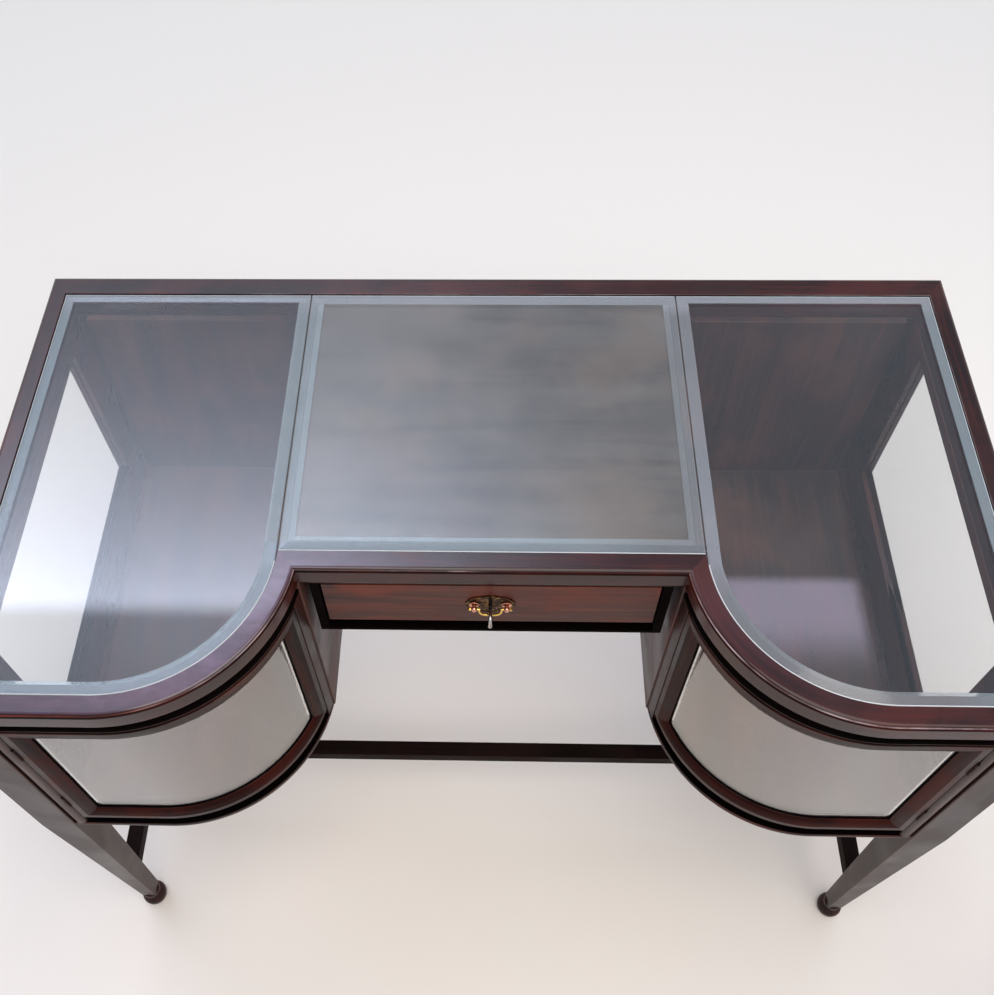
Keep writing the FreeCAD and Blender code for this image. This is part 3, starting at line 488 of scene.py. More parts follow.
def grainShift():
    # each piece is cut from another place in the plank: the count * a fixed step
    pieceCount[0] += 1
    return np.array([0.731, 0.417, 0.293]) * (pieceCount[0] - 1)


def setAttributes(mesh, grain, edge):
    for name, kind, key, values in (("grainPlace", "FLOAT_VECTOR", "vector", grain),
                                    ("edgeShare", "FLOAT", "value", edge)):
        layer = mesh.attributes.new(name, kind, "POINT")
        layer.data.foreach_set(key, np.ascontiguousarray(values, np.float32).ravel())


def meshFromRings(rings, grain, edge, marks):
    # rings: (rows, columns, 3) in metres; each row is a closed outline and both ends are capped. The sum of
    # a . (b x c) over all triangles is below 0 if the faces look inwards, and then they turn
    rows, columns = rings.shape[:2]
    index = np.arange(rows * columns).reshape(rows, columns)
    after = np.roll(index, -1, axis=1)
    quads = np.stack([index[:-1], after[:-1], after[1:], index[1:]], axis=-1).reshape(-1, 4)
    caps = [index[0][::-1], index[-1]]
    points = rings.reshape(-1, 3)

    def volume(a, b, c):
        return np.einsum("ij,ij->", a, np.cross(b, c))

    a, b, c, d = points[quads].transpose(1, 0, 2)
    signed = volume(a, b, c) + volume(a, c, d)
    for cap in caps:
        fan = points[cap]
        signed += volume(np.repeat(fan[:1], len(cap) - 2, 0), fan[1:-1], fan[2:])
    faces = quads.tolist() + [cap.tolist() for cap in caps]
    if signed < 0:
        faces = [face[::-1] for face in faces]
    mesh = bpy.data.meshes.new("blank")
    mesh.from_pydata(points.tolist(), [], faces)
    setAttributes(mesh, grain, np.broadcast_to(edge, (rows, columns)))
    marks = np.append(np.broadcast_to(marks, (rows - 1, columns)), [0, 0])
    mesh.polygons.foreach_set("material_index", marks.astype(np.int32))
    return mesh


def easeEdges(mesh, width):
    # rounds every edge sharper than the limit; a point that has only new faces is marked as rubbed
    bm = bmesh.new()
    bm.from_mesh(mesh)
    bmesh.ops.remove_doubles(bm, verts=bm.verts, dist=joins["sameSpot"])
    if width > 0:
        limit = math.radians(joins["sharp"])
        sharp = [edge for edge in bm.edges if edge.is_manifold and edge.calc_face_angle(0) > limit]
        made = bmesh.ops.bevel(bm, geom=sharp, offset=width * mm, segments=joins["easeSteps"],
                               profile=joins["round"], affect="EDGES", clamp_overlap=True)
        fresh, layer = set(made["faces"]), bm.verts.layers.float.get("edgeShare")
        for vert in {vert for face in fresh for vert in face.verts}:
            if fresh.issuperset(vert.link_faces):
                vert[layer] = 1.0
    bm.to_mesh(mesh)
    bm.free()


def finishPiece(name, mesh, node, slotName, finishes, body="table", ease=0.0, smooth=32):
    # eases the mesh, gives it its finishes and lets it stand for the node
    easeEdges(mesh, ease)
    for finish in finishes:
        mesh.materials.append(materials[finish])
    mesh.shade_smooth()
    mesh.set_sharp_from_angle(angle=math.radians(smooth))
    mesh.name = name
    piece = addObject(name, mesh)
    piece.modifiers.new("flatFacesStayFlat", "WEIGHTED_NORMAL").keep_sharp = True
    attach(piece, body)
    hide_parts(node)


def ringPiece(side, name, node, shape, finishes, edge=0.0, marks=0, slotName="frame_wood", **settings):
    # shape is rings and their grain, mirrored for the left side; marks give the finish of each face
    rings, grain = shape
    mesh = meshFromRings(rings * np.array([sides.get(side, 1), 1, 1]), grain, edge, marks)
    finishPiece(side + name, mesh, side + node, slotName, finishes, **settings)


def fromCad(node, name, slotName, finish, ease=0.6, body="table"):
    # a copy of a flat-sided CAD solid with eased edges. Its boards are told apart by giving each point the
    # least number among its neighbours until none changes; grain runs the long way of each
    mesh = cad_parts[node].data.copy()
    mesh.materials.clear()
    bm = bmesh.new()
    bm.from_mesh(mesh)
    bmesh.ops.remove_doubles(bm, verts=bm.verts, dist=joins["sameSpot"])
    bmesh.ops.dissolve_limit(bm, angle_limit=math.radians(joins["flat"]), verts=bm.verts, edges=bm.edges)
    bm.to_mesh(mesh)
    bm.free()
    points, ends = np.zeros(len(mesh.vertices) * 3), np.zeros(len(mesh.edges) * 2, np.int32)
    mesh.vertices.foreach_get("co", points)
    mesh.edges.foreach_get("vertices", ends)
    points, ends = points.reshape(-1, 3), ends.reshape(-1, 2)
    board, before = np.arange(len(points)), None
    while not np.array_equal(board, before):
        before = board.copy()
        for end in ends.T:
            np.minimum.at(board, end, before[ends].min(axis=1))
    grain = np.zeros_like(points)
    for number in np.unique(board):
        own = board == number
        order = np.argsort(points[own].min(0) - points[own].max(0))
        grain[own] = points[own][:, order] + grainShift()
    setAttributes(mesh, grain, np.zeros(len(points)))
    finishPiece(name, mesh, node, slotName, [finish], body, ease)


# Plan of the top: straight ends, quarter bows and the kneehole between them
plan = {
    "halfWidth": 540.0, "frontY": -282.0, "backY": 282.0, "height": 785.0, "underTop": 757.0,
    "bowX": 381.0, "bowY": -97.0, "radius": 185.0, "kneeY": -124.0, "legInnerX": 497.0,
}


def onBow(insets, turn):
    # x = bowX - r cos turn and y = bowY - r sin turn, with r = radius - inset
    reach = plan["radius"] - insets
    return plan["bowX"] - reach * np.cos(turn), plan["bowY"] - reach * np.sin(turn)


def sweepBow(insets, levels, startAngles, endXs, arcRows=72, straightRows=8):
    # each point of the section runs round the bow from its start angle to 90 degrees, then at
    # y = frontY + inset to its own end
    insets, levels, startAngles, endXs = np.broadcast_arrays(insets, levels, startAngles, endXs)
    share = np.linspace(0, 1, arcRows)[:, None]
    turn = np.radians(startAngles + (90 - startAngles) * share)
    arc = np.stack([*onBow(insets, turn), levels + 0 * turn], axis=-1)
    share = np.linspace(0, 1, straightRows + 1)[1:, None]
    run = np.stack([plan["bowX"] + (endXs - plan["bowX"]) * share, plan["frontY"] + insets + 0 * share,
                    levels + 0 * share], axis=-1)
    along = [plan["radius"] * turn, plan["radius"] * np.pi / 2 + run[..., 0] - plan["bowX"]]
    along = np.concatenate(along)
    grain = np.stack([along, insets + 0 * along, levels + 0 * along], axis=-1) * mm
    return np.concatenate([arc, run]) * mm, grain + grainShift()


def upright(x, y, levels):
    # an outline in plan carried straight up, with its grain
    levels = levels + 0 * x
    rings = np.stack([x + 0 * levels, y + 0 * levels, levels], axis=-1) * mm
    return rings, rings[..., grainUp] + grainShift()


def line(*coordinates):
    # points from their coordinates, some of which may be one number for all
    return np.column_stack(np.broadcast_arrays(*coordinates))


def straightRail(first, last, levels, rows, grainOrder):
    # a section carried from one mitred end (x, y) to the other: a + (b - a) * share
    a, b = line(*first, levels), line(*last, levels)
    rings = (a + (b - a) * np.linspace(0, 1, rows)[:, None, None]) * mm
    return rings, rings[..., grainOrder] + grainShift()


def arcPoints(centre, radius, start, end, count):
    # centre + radius * (cos a, sin a)
    turn = np.radians(np.linspace(start, end, count))
    return [(centre[0] + radius * math.cos(a), centre[1] + radius * math.sin(a)) for a in turn]


def hump(count):
    # 0 at both ends and 1 in the middle: 1 - s^2 with s from -1 to 1
    return 1 - np.linspace(-1, 1, count) ** 2


def roundedProfile(corners, radii, steps=3):
    # closed section with its corners cut by curves (1 - t)^2 a + 2 t (1 - t) corner + t^2 b, where a and b
    # lie radius / tan(half the angle) from the corner; radius 0 leaves it sharp
    corners, points, edge = np.array(corners, float), [], []
    around = zip(corners, np.roll(corners, 1, axis=0), np.roll(corners, -1, axis=0),
                 np.broadcast_to(radii, len(corners)))
    for here, before, after, radius in around:
        if radius <= 0:
            points.append(here)
            edge.append(0.0)
            continue
        a, b = ((other - here) / np.linalg.norm(other - here) for other in (before, after))
        cut = radius / math.tan(math.acos(a @ b) / 2)
        for t in np.linspace(0, 1, steps + 1):
            points.append(here + ((1 - t) ** 2 * a + t ** 2 * b) * cut)
            edge.append(1.0 - (2 * t - 1) ** 2)
    return np.array(points), np.array(edge)


# Top frame
topRails = {
    "back": 28.0, "side": 21.0, "front": 22.0, "knee": 23.0, "bed": 779.0, "ledge": 12.0,
    "arris": 5.5, "underArris": 3.0, "innerEase": 0.7, "bowRows": 96, "sideRows": 12, "crossRows": 24,
    # how rubbed each point of the section's arcs is, which paints a pale highlight line on the arris and
    # beside the glass, and the faces at the foot of the round, painted dark as shade
    "underRub": [0.0] * 6, "arrisRubAndHighlight": [0, 0, 0, 1.0, 1.0, 0.15, 0, 0, 0], "innerRubAndHighlight": [0, 0.8, 0.8, 0],
    "rebateRub": [0.0] * 3, "rubAndHighlight": 0.85, "shadedFootFaces": 3,
    # the knee rail's rub and painted highlight at its middle, the metres over which it falls by 1, and the
    # least of it
    "kneeRubAndHighlight": (0.5, 0.08, 0.35),
    "finishes": ["polishedTop", "paintedShadeWood", "shadedMouldWood"],
}


def railProfile(width):
    # inset, level and rub of the section, from the underside round the outer arris to the glass's rebate
    t, top, under = topRails, plan["height"], plan["underTop"]
    r, u, e = t["arris"], t["underArris"], t["innerEase"]
    points = arcPoints((u, under + u), u, 270, 180, len(t["underRub"]))
    points += arcPoints((r, top - r), r, 180, 90, len(t["arrisRubAndHighlight"]))
    points += arcPoints((width - e, top - e), e, 90, 0, len(t["innerRubAndHighlight"]))
    points += [(width, t["bed"]), (width + t["ledge"], t["bed"]), (width + t["ledge"], under)]
    insets, levels = np.array(points).T
    return insets, levels, np.array(t["underRub"] + t["arrisRubAndHighlight"] + t["innerRubAndHighlight"] + t["rebateRub"])


def bowAcross(inset, y):
    # where the bow of this inset crosses the line of this y: x = bowX - sqrt(r^2 - (bowY - y)^2)
    reach, drop = plan["radius"] - inset, plan["bowY"] - y
    return np.array([plan["bowX"] - math.sqrt(reach ** 2 - drop ** 2), y])


kneeOuter = bowAcross(0, plan["kneeY"])
kneeInner = bowAcross(topRails["front"], plan["kneeY"] + topRails["knee"])


def kneeMitreAngle(insets):
    # where the bow of each inset crosses the kneehole's mitre line: the first t with |start + t * step| = r
    step = kneeInner - kneeOuter
    start = kneeOuter - np.array([plan["bowX"], plan["bowY"]])
    a, b = step @ step, 2 * step @ start
    t = (-b - np.sqrt(b * b - 4 * a * (start @ start - (plan["radius"] - insets) ** 2))) / (2 * a)
    spot = start + t[:, None] * step
    return np.degrees(np.arctan2(-spot[:, 1], -spot[:, 0]))


def makeTopFrame():
    # four straight rails and two bowed ones; every mitre gives each point its own end by inset / width
    t, half = topRails, plan["halfWidth"]
    foot = len(t["underRub"])
    rebate = foot + len(t["arrisRubAndHighlight"] + t["innerRubAndHighlight"]) - 1
    marks = np.zeros(rebate + 1 + len(t["rebateRub"]), int)
    marks[rebate] = 1  # painted shade down the rebate, against the glass
    # painted shade: the faces at the foot of the arris's round are dark
    marks[foot:foot + t["shadedFootFaces"]] = 2
    for side in sides:
        insets, levels, edge = railProfile(t["front"])
        ends = half - t["side"] * insets / t["front"]
        shape = sweepBow(insets, levels, kneeMitreAngle(insets), ends, t["bowRows"])
        # full rub on the straight part of the left rail, where the polish is rubbed through; elsewhere a
        # little less, which paints a pale highlight line along the arris
        rubAndHighlight = np.where((shape[0][..., 0] > plan["bowX"] * mm) & (side == "left"), 1.0, t["rubAndHighlight"])
        ringPiece(side, "BowedTopRail", "_front_top_rail", shape, t["finishes"], edge * rubAndHighlight, marks)
        insets, levels, edge = railProfile(t["side"])
        share, x = insets / t["side"], half - insets
        shape = straightRail((x, plan["frontY"] + t["front"] * share), (x, plan["backY"] - t["back"] * share),
                             levels, t["sideRows"], [1, 0, 2])
        ringPiece(side, "SideTopRail", "_side_top_rail", shape, t["finishes"], edge * t["rubAndHighlight"], marks)
    for side, part, outer, inner, y, way in (
            ("back", "back", half, half - t["side"], plan["backY"], -1),
            ("kneehole", "knee", kneeOuter[0], kneeInner[0], plan["kneeY"], 1)):
        insets, levels, edge = railProfile(t[part])
        reach, y = outer + (inner - outer) * insets / t[part], y + way * insets
        shape = straightRail((-reach, y), (reach, y), levels, t["crossRows"], [0, 1, 2])
        if part == "knee":
            middle, fall, least = t["kneeRubAndHighlight"]
            edge = edge * np.clip(middle - shape[0][..., 0] / fall, least, 1.0)
        ringPiece(side, "TopRail", "_top_rail", shape, t["finishes"], edge * t["rubAndHighlight"], marks)


makeTopFrame()
print("top frame made")

# Glass in the top: side panes with a bowed front edge, and the middle pane
topPanes = {
    "bed": 779.15, "drop": 1.6, "grind": 0.35, "arris": 1.0, "inset": 22.5, "x0": 219.25, "x1": 518.5,
    "y1": 253.5, "bevel": 13.0, "centreX": 217.75, "centreY0": -100.5, "centreBevel": 16.0, "bowPoints": 72,
    # columns of an outline that lie along a seam
    "seam": [-1], "centreSeams": [1, 3],
}


def sidePaneOutline(shrink):
    # bow from the seam, where cos a = (bowX - x0 - shrink) / r, to the front; then the other corners
    p = topPanes
    inset, x1, y1 = p["inset"] + shrink, p["x1"] - shrink, p["y1"] - shrink
    start = math.acos((plan["bowX"] - p["x0"] - shrink) / (plan["radius"] - inset))
    bow = line(*onBow(inset, np.linspace(start, np.pi / 2, p["bowPoints"])))
    return np.vstack([bow, [(x1, plan["frontY"] + inset), (x1, y1), (p["x0"] + shrink, y1)]])


def centrePaneOutline(shrink):
    # a rectangle with every side moved in by shrink
    p = topPanes
    x, y0, y1 = p["centreX"] - shrink, p["centreY0"] + shrink, p["y1"] - shrink
    return np.array([(-x, y0), (x, y0), (x, y1), (-x, y1)])


def bevelledPane(side, outline, bevel, seams):
    # (shrink, level) of each ring, from the bed up the ground edge, over its arris, and up the wide bevel
    p = topPanes
    g, bed, top, arris = p["grind"], p["bed"], plan["height"], p["arris"]
    rim = top - p["drop"]
    steps = [(g, bed), (0, bed + g), (0, rim - g), (arris, rim + arris * p["drop"] / bevel), (bevel, top)]
    rings = np.stack([line(*outline(shrink).T, level) for shrink, level in steps]) * mm
    marks = np.tile([[1], [1], [2], [1]], (1, rings.shape[1]))
    marks[2, seams] = 1  # the arris is white only where it meets the wood
    ringPiece(side, "TopPane", "_top_glass", (rings, rings), ["topGlass", "groundBevel", "groundEdge"], 0.0,
              marks, "glass", smooth=6)


for side in sides:
    bevelledPane(side, sidePaneOutline, topPanes["bevel"], topPanes["seam"])
bevelledPane("centre", centrePaneOutline, topPanes["centreBevel"], topPanes["centreSeams"])
print("top glass laid")


# Legs: one turned and tapered piece each, with its collar and pad foot
leg = {
    "footX": 513.0, "footY": 263.5, "headX": (497.0, 540.0), "headY": (240.0, 282.0), "taperTop": 428.0,
    "ankle": 36.0, "ankleHalf": 10.5, "collar": 0.5, "corner": 1.4, "taperRows": 14, "quarterPoints": 9,
    "straight": [520.0, 600.0, 680.0, 756.4, 757.0], "neckScale": 0.8, "topScale": 0.97,
    "ridge": (27, 36), "ridgeRub": 0.4,
    # half width of each level of the foot, from the floor up
    "foot": [(0.0, 0.05), (0.0, 9.0), (0.4, 12.0), (2.2, 15.4), (5.0, 17.1), (8.5, 17.5), (12.0, 17.4),
             (15.0, 16.6), (17.6, 14.9), (19.2, 12.8), (20.2, 11.7), (21.6, 11.3), (23.6, 11.3),
             (25.4, 11.6), (26.9, 12.4), (28.1, 12.9), (30.0, 13.0), (33.0, 13.0), (34.6, 12.9),
             (35.6, 12.2)],
}


def makeLeg(name, node, signX, signY):
    # each ring is a rounded square: middle + way * (h - c) + c * (cos a, sin a), of half width h and corner
    # radius c; the foot has c = h, a circle, and the shaft goes from the ankle to the head by share t
    g = leg
    footLevels, footHalf = np.array(g["foot"]).T
    share = np.linspace(0.02, 1, g["taperRows"])
    t = np.concatenate([[0, 0], share, np.ones(len(g["straight"]))])
    ankle = g["ankle"]
    shaftLevels = np.concatenate([[ankle, ankle + g["collar"]], ankle + share * (g["taperTop"] - ankle),
                                  g["straight"]])
    scale = np.ones(len(t))
    scale[[0, -1]] = g["neckScale"], g["topScale"]

    def column(foot, shaft):
        return np.concatenate([foot + 0 * footHalf, shaft + 0 * t])[:, None]

    levels, corner = column(footLevels, shaftLevels), column(footHalf * 0.999, g["corner"])
    quarter, spots = g["quarterPoints"], []
    turn = np.radians(np.concatenate([np.linspace(0, 90, quarter) + q for q in (0, 90, 180, 270)]))
    for foot, (low, high), way, swing in ((g["footX"], g["headX"], [1, -1, -1, 1], np.cos(turn)),
                                          (g["footY"], g["headY"], [1, 1, -1, -1], np.sin(turn))):
        middle = column(foot, foot + ((low + high) / 2 - foot) * t)
        half = column(footHalf, (g["ankleHalf"] + ((high - low) / 2 - g["ankleHalf"]) * t) * scale)
        spots.append(middle + np.repeat(way, quarter) * (half - corner) + corner * swing)
    bend = np.tile(1 - np.abs(np.linspace(-1, 1, quarter)) ** 1.5, 4) * (corner == g["corner"])
    ridge = np.where((levels > g["ridge"][0]) & (levels < g["ridge"][1]), g["ridgeRub"], 0.0)
    low = (levels[:-1] < g["ankle"]).astype(int)  # the foot and its collar are darker
    shape = upright(spots[0] * signX, spots[1] * signY, levels)
    ringPiece("", name, node, shape, ["legWood", "caseWood"], np.maximum(bend, ridge), low, smooth=40)


for side, sign in sides.items():
    makeLeg(side + "FrontLeg", side + "_front_leg", sign, -1)
    makeLeg(side + "RearLeg", side + "_rear_leg", sign, 1)
print("legs turned")

# Straight boards and rails keep the CAD shape, with eased edges
boards = [
    ("glass_bearers", "paneBearers", "frame_wood", "darkPanel", 0.6),
    ("centre_panel", "underglassPanel", "panel_wood", "dustyPanel", 0.6),
    # painted shade: the stretchers under the table are darker
    ("cross_stretcher", "crossStretcher", "frame_wood", "shadedStretcherWood", 1.2),
    ("centre_back_panel", "centreBackPanel", "panel_wood", "darkPanel", 0.8),
    ("kneehole_frieze", "kneeholeFrieze", "frame_wood", "caseWood", 0.8),
    # painted shade: the recessed drawer surround is near black
    ("drawer_opening_frame", "drawerSurround", "frame_wood", "paintedShadeWood", 0.6),
    ("drawer_runners", "drawerRunners", "inner_wood", "plainInside", 0.6),
]
for side in sides:
    boards += [
        # painted shade: the stretchers under the table are darker
        (side + "_side_stretcher", side + "SideStretcher", "frame_wood", "shadedStretcherWood", 1.2),
        (side + "_window_frame", side + "WindowFrame", "frame_wood", "polishedFrame", 0.8),
        (side + "_kneehole_wall", side + "KneeholeWall", "panel_wood", "darkPanel", 0.8),
        (side + "_back_panel", side + "BackPanel", "panel_wood", "darkPanel", 0.8),
        (side + "_floor_board", side + "FloorBoard", "panel_wood", "darkPanel", 0.6),
    ]
for board in boards:
    fromCad(*board)
print("boards eased:", len(boards))


# Bowed mouldings and posts of the case
frieze = {"under": 757.0, "bottom": 735.0, "hollow": 8.5, "deep": 1.2, "hollowPoints": 7,
          "beadAt": (5.4, 739.6), "bead": 3.2, "beadPoints": 14, "unshadedFaces": (6, 9), "quirk": 9.5,
          "quirkDrop": 0.3, "back": 22.0, "rubAndHighlight": 0.4}
bottomRail = {"low": 428.0, "beadTop": 436.0, "board": 456.0, "inset": 9.0, "round": 2.4, "nose": 3.6,
              "noseTurn": 58, "nosePoints": 9, "depth": 30.0, "rubAndHighlight": 0.9, "ease": 0.6}
posts = {"angles": (8.484, 13.684), "behind": -123.0, "inset": 2.0, "back": 20.0, "innerPoints": 7,
         "outer": (482.0, 496.7), "shoulder": -276.0, "nose": -281.0, "outerBack": -262.0,
         "outerPoints": 15, "outerRows": 9, "rubAndHighlight": 0.7, "ease": 0.7}


def behindPostAngle(insets):
    # the case starts at the plane behind the inner post: sin a = drop / r
    return np.degrees(np.arcsin((plan["bowY"] - posts["behind"]) / (plan["radius"] - insets)))


def sweepCase(section):
    # a section swept round the bow from behind the inner post to the leg
    return sweepBow(*section.T, behindPostAngle(section[:, 0]), plan["legInnerX"])


def makeMouldings():
    # frieze: a hollow (1 - t)^2 a + 2 t (1 - t) middle + t^2 b, a round bead and a quirk; below the door a
    # flat arc for a bead, nose - round cos a, and the bottom rail on it
    f, b = frieze, bottomRail
    crown = f["beadAt"][1] + f["bead"]
    t = np.linspace(0, 1, f["hollowPoints"])[:, None]
    middle = np.array([(f["hollow"] + f["beadAt"][0]) / 2 + 2 * f["deep"], (f["under"] + crown) / 2])
    hollow = ((1 - t) ** 2 * np.array([f["hollow"], f["under"]]) + 2 * t * (1 - t) * middle
              + t ** 2 * np.array([f["beadAt"][0], crown]))
    bead = arcPoints(f["beadAt"], f["bead"], 90, 270, f["beadPoints"] + 1)[1:]
    tail = [(f["quirk"], f["beadAt"][1] - f["bead"] + f["quirkDrop"]), (f["quirk"], f["bottom"]),
            (f["back"], f["bottom"]), (f["back"], f["under"])]
    section = np.vstack([hollow, bead, tail])
    # the rub on the bead paints a faint highlight line
    rubAndHighlight = np.concatenate([np.zeros(len(hollow)), f["rubAndHighlight"] * hump(len(bead)), np.zeros(len(tail))])
    shadedFaces = np.ones(len(section), int)  # painted shade in the hollow above the bead and the quirk below
    shadedFaces[slice(*(len(hollow) + face for face in f["unshadedFaces"]))] = 0
    for side in sides:
        ringPiece(side, "BowedFrieze", "_frieze", sweepCase(section), ["caseWood", "paintedShadeWood"], rubAndHighlight, shadedFaces)

    # two runs, as in the real case: the bead goes on under the posts, the rail stands between them
    arc = np.radians(np.linspace(-b["noseTurn"], b["noseTurn"], b["nosePoints"]))
    low, high, depth = b["low"], b["beadTop"], b["depth"]
    rise = (low + high) / 2 + (high - low) / 2 * np.sin(arc) / math.sin(arc[-1])
    nose = line(b["nose"] - b["round"] * np.cos(arc), rise)
    bead = np.vstack([nose, [(depth, high), (depth, low)]])
    # the rub on the bead's nose paints a thin pale highlight line
    beadRubAndHighlight = np.append(b["rubAndHighlight"] * hump(len(nose)), [0, 0])
    ledge = np.zeros(len(bead), int)
    ledge[len(nose) - 1] = 1  # painted shade on the ledge behind the bead too
    rail, railRub = roundedProfile([(b["inset"], high), (b["inset"], b["board"]), (depth, b["board"]),
                                    (depth, high)], b["ease"])
    for side in sides:
        ringPiece(side, "BottomBead", "_bottom_rail", sweepCase(bead), ["caseWood", "paintedShadeWood"], beadRubAndHighlight,
                  ledge)
        # the bottom rail is all painted shade
        shape = sweepBow(*rail.T, posts["angles"][1], posts["outer"][0])
        ringPiece(side, "BottomRail", "_bottom_rail", shape, ["paintedShadeWood"], railRub)


def makePosts():
    # inner post: two bows between the plane behind it and its angle; outer post: half an ellipse for a nose
    p, levels = posts, np.array([bottomRail["beadTop"], frieze["bottom"]])
    front, back = (np.linspace(behindPostAngle(inset), p["angles"][1], p["innerPoints"])
                   for inset in (p["inset"], p["back"]))
    inner = np.hstack([onBow(p["inset"], np.radians(front)), onBow(p["back"], np.radians(back[::-1]))])
    low, high = p["outer"]
    turn = np.linspace(np.pi, 2 * np.pi, p["outerPoints"])
    nose = [(low + high) / 2 + (high - low) / 2 * np.cos(turn),
            p["shoulder"] + (p["shoulder"] - p["nose"]) * np.sin(turn)]
    outer = np.hstack([nose, [(high, low), (p["outerBack"], p["outerBack"])]])
    # the rub down the nose paints a pale highlight line
    rubAndHighlight = np.append(p["rubAndHighlight"] * hump(p["outerPoints"]), [0, 0])
    seams = np.ones(len(rubAndHighlight), int)  # painted shade where it meets the stile and the leg
    seams[1:p["outerPoints"] - 2] = 0
    for side in sides:
        ringPiece(side, "InnerPost", "_inner_post", upright(*inner, levels[:, None]), ["caseWood"],
                  ease=p["ease"])
        shape = upright(*outer, np.linspace(*levels, p["outerRows"])[:, None])
        ringPiece(side, "OuterPost", "_outer_post", shape, ["legWood", "paintedShadeWood"], rubAndHighlight, seams)


makeMouldings()
makePosts()
print("case front moulded")

# Doors: mitred frame with a sloping inner moulding, bent pane and hinges
door = {
    "low": 457.8, "high": 733.2, "inset": 2.0, "thick": 18.0, "start": 14.154, "endX": 480.5, "flat": 8.0,
    "member": 23.0, "lip": 5.5, "ease": 0.9, "glassInset": 8.7, "glassRear": 15.2, "rebate": 5.0,
    "bevel": 10.0, "bevelDrop": 0.9, "stileRows": 9, "paneRows": (120, 30),
    "swell": [(1.1, 5.5), (2.9, 11.0)],  # the moulding bulges a little
    # faces of the section painted as shade: the slope, the lip at the glass, and the hinge stile's side along
    # the post
    "slopeFaces": slice(7, 12), "lipFaces": slice(12, 14), "gapFaces": [0, 1, 2, -1],
    "finishes": ["caseWood", "paintedShadeWood", "shadedMouldWood"],
}
doorRadius = plan["radius"] - door["inset"]
sightStart = door["start"] + math.degrees(door["member"] / doorRadius)
mitreTurn = (door["start"] + sightStart) / 2


def doorMitreAngle(insets, rise):
    # the angle at which a bow of this inset has gone the given way along from the door's first edge
    first = doorRadius * math.sin(math.radians(door["start"] - mitreTurn))
    return mitreTurn + np.degrees(np.arcsin((rise + first) / (plan["radius"] - insets)))


def bentPane():
    # a sheet bent round the bow; within the bevel's width of each edge its face falls back
    # by drop * (1 - distance / bevel)
    d = door
    edge = d["member"] - d["rebate"]
    low, high, face, rear = d["low"] + edge, d["high"] - edge, d["glassInset"], d["glassRear"]
    fallen = face + d["bevelDrop"]
    rise = np.array([low, low + d["bevel"], high - d["bevel"], high, high, low])
    start = sightStart - math.degrees(d["rebate"] / doorRadius)
    (rings, grain), (back, _) = (
        sweepBow(np.array(insets + [rear] * 2), rise, start, d["endX"] - edge, *d["paneRows"])
        for insets in ([fallen, face, face, fallen], [fallen] * 4))
    along = grain[:, 0, 0] / mm
    off = np.minimum(along - along[0], along[-1] - along)
    share = np.clip(1 - off / d["bevel"], 0, 1)
    # painted shade: the top bevel, and the whole face within the bevel's width of each end, take the darker
    # glass
    shadeBand = np.zeros((len(rings) - 1, len(rise)), int)
    shadeBand[:, 2] = 1
    shadeBand[(share[1:] > 0) | (share[:-1] > 0), :3] = 1
    return rings + (back - rings) * share[:, None, None], grain, shadeBand


def makeDoors():
    # one section is swept for the rails and stood up for the stiles; each of its points ends on the mitre,
    # as far from the door's edge as it lies into the member
    d = door
    outer, lip, back = d["inset"], d["inset"] + d["lip"], d["inset"] + d["thick"]
    swell = [(outer + into, d["flat"] + up) for into, up in d["swell"]]
    corners = [(outer, 0), (outer, d["flat"]), *swell, (lip, d["member"]), (back, d["member"]), (back, 0)]
    section, rubAndHighlight = roundedProfile(corners, [d["ease"], d["ease"], 0, 0] + [d["ease"]] * 3)
    insets, rises = section.T
    marks = np.zeros(len(section), int)
    # painted shade: the lip and the stile's side along the post near black, the slope darker
    marks[d["lipFaces"]], marks[d["slopeFaces"]] = 1, 2
    gapMarks = marks.copy()
    gapMarks[d["gapFaces"]] = 1
    mitre = doorMitreAngle(insets, rises)
    share = np.linspace(0, 1, d["stileRows"])[:, None]
    levels = d["low"] + rises + (d["high"] - d["low"] - 2 * rises) * share
    stiles = (("Meeting", "_meeting", onBow(insets, np.radians(mitre)), marks),
              ("Hinge", "_hinge", (d["endX"] - rises, plan["frontY"] + insets), gapMarks))
    for side in sides:
        body = side + "_door"
        for name, base, way in (("Low", d["low"], 1), ("High", d["high"], -1)):
            shape = sweepBow(insets, base + way * rises, mitre, d["endX"] - rises)
            ringPiece(side, f"Door{name}Rail", "_door_rails", shape, d["finishes"], rubAndHighlight, marks, body=body)
        for name, part, place, faces in stiles:
            ringPiece(side, f"Door{name}Stile", f"_door{part}_stile", upright(*place, levels), d["finishes"],
                      rubAndHighlight, faces, body=body)
        *shape, shadeBand = bentPane()
        ringPiece(side, "DoorPane", "_door_glass", shape, ["doorGlass", "shadedDoorBevel"], 0.0, shadeBand, "glass",
                  body=body, smooth=4)
        fromCad(body + "_hinge_knuckles", side + "DoorHinges", "brass", "darkHinge", 0.0, body)


makeDoors()
for side in sides:
    fromCad(side + "_window_glass", side + "WindowPane", "glass", "sideGlass", 0.4)
fromCad("hinge_post_leaves", "postHingeLeaves", "brass", "darkHinge", 0.0)
print("doors hung")

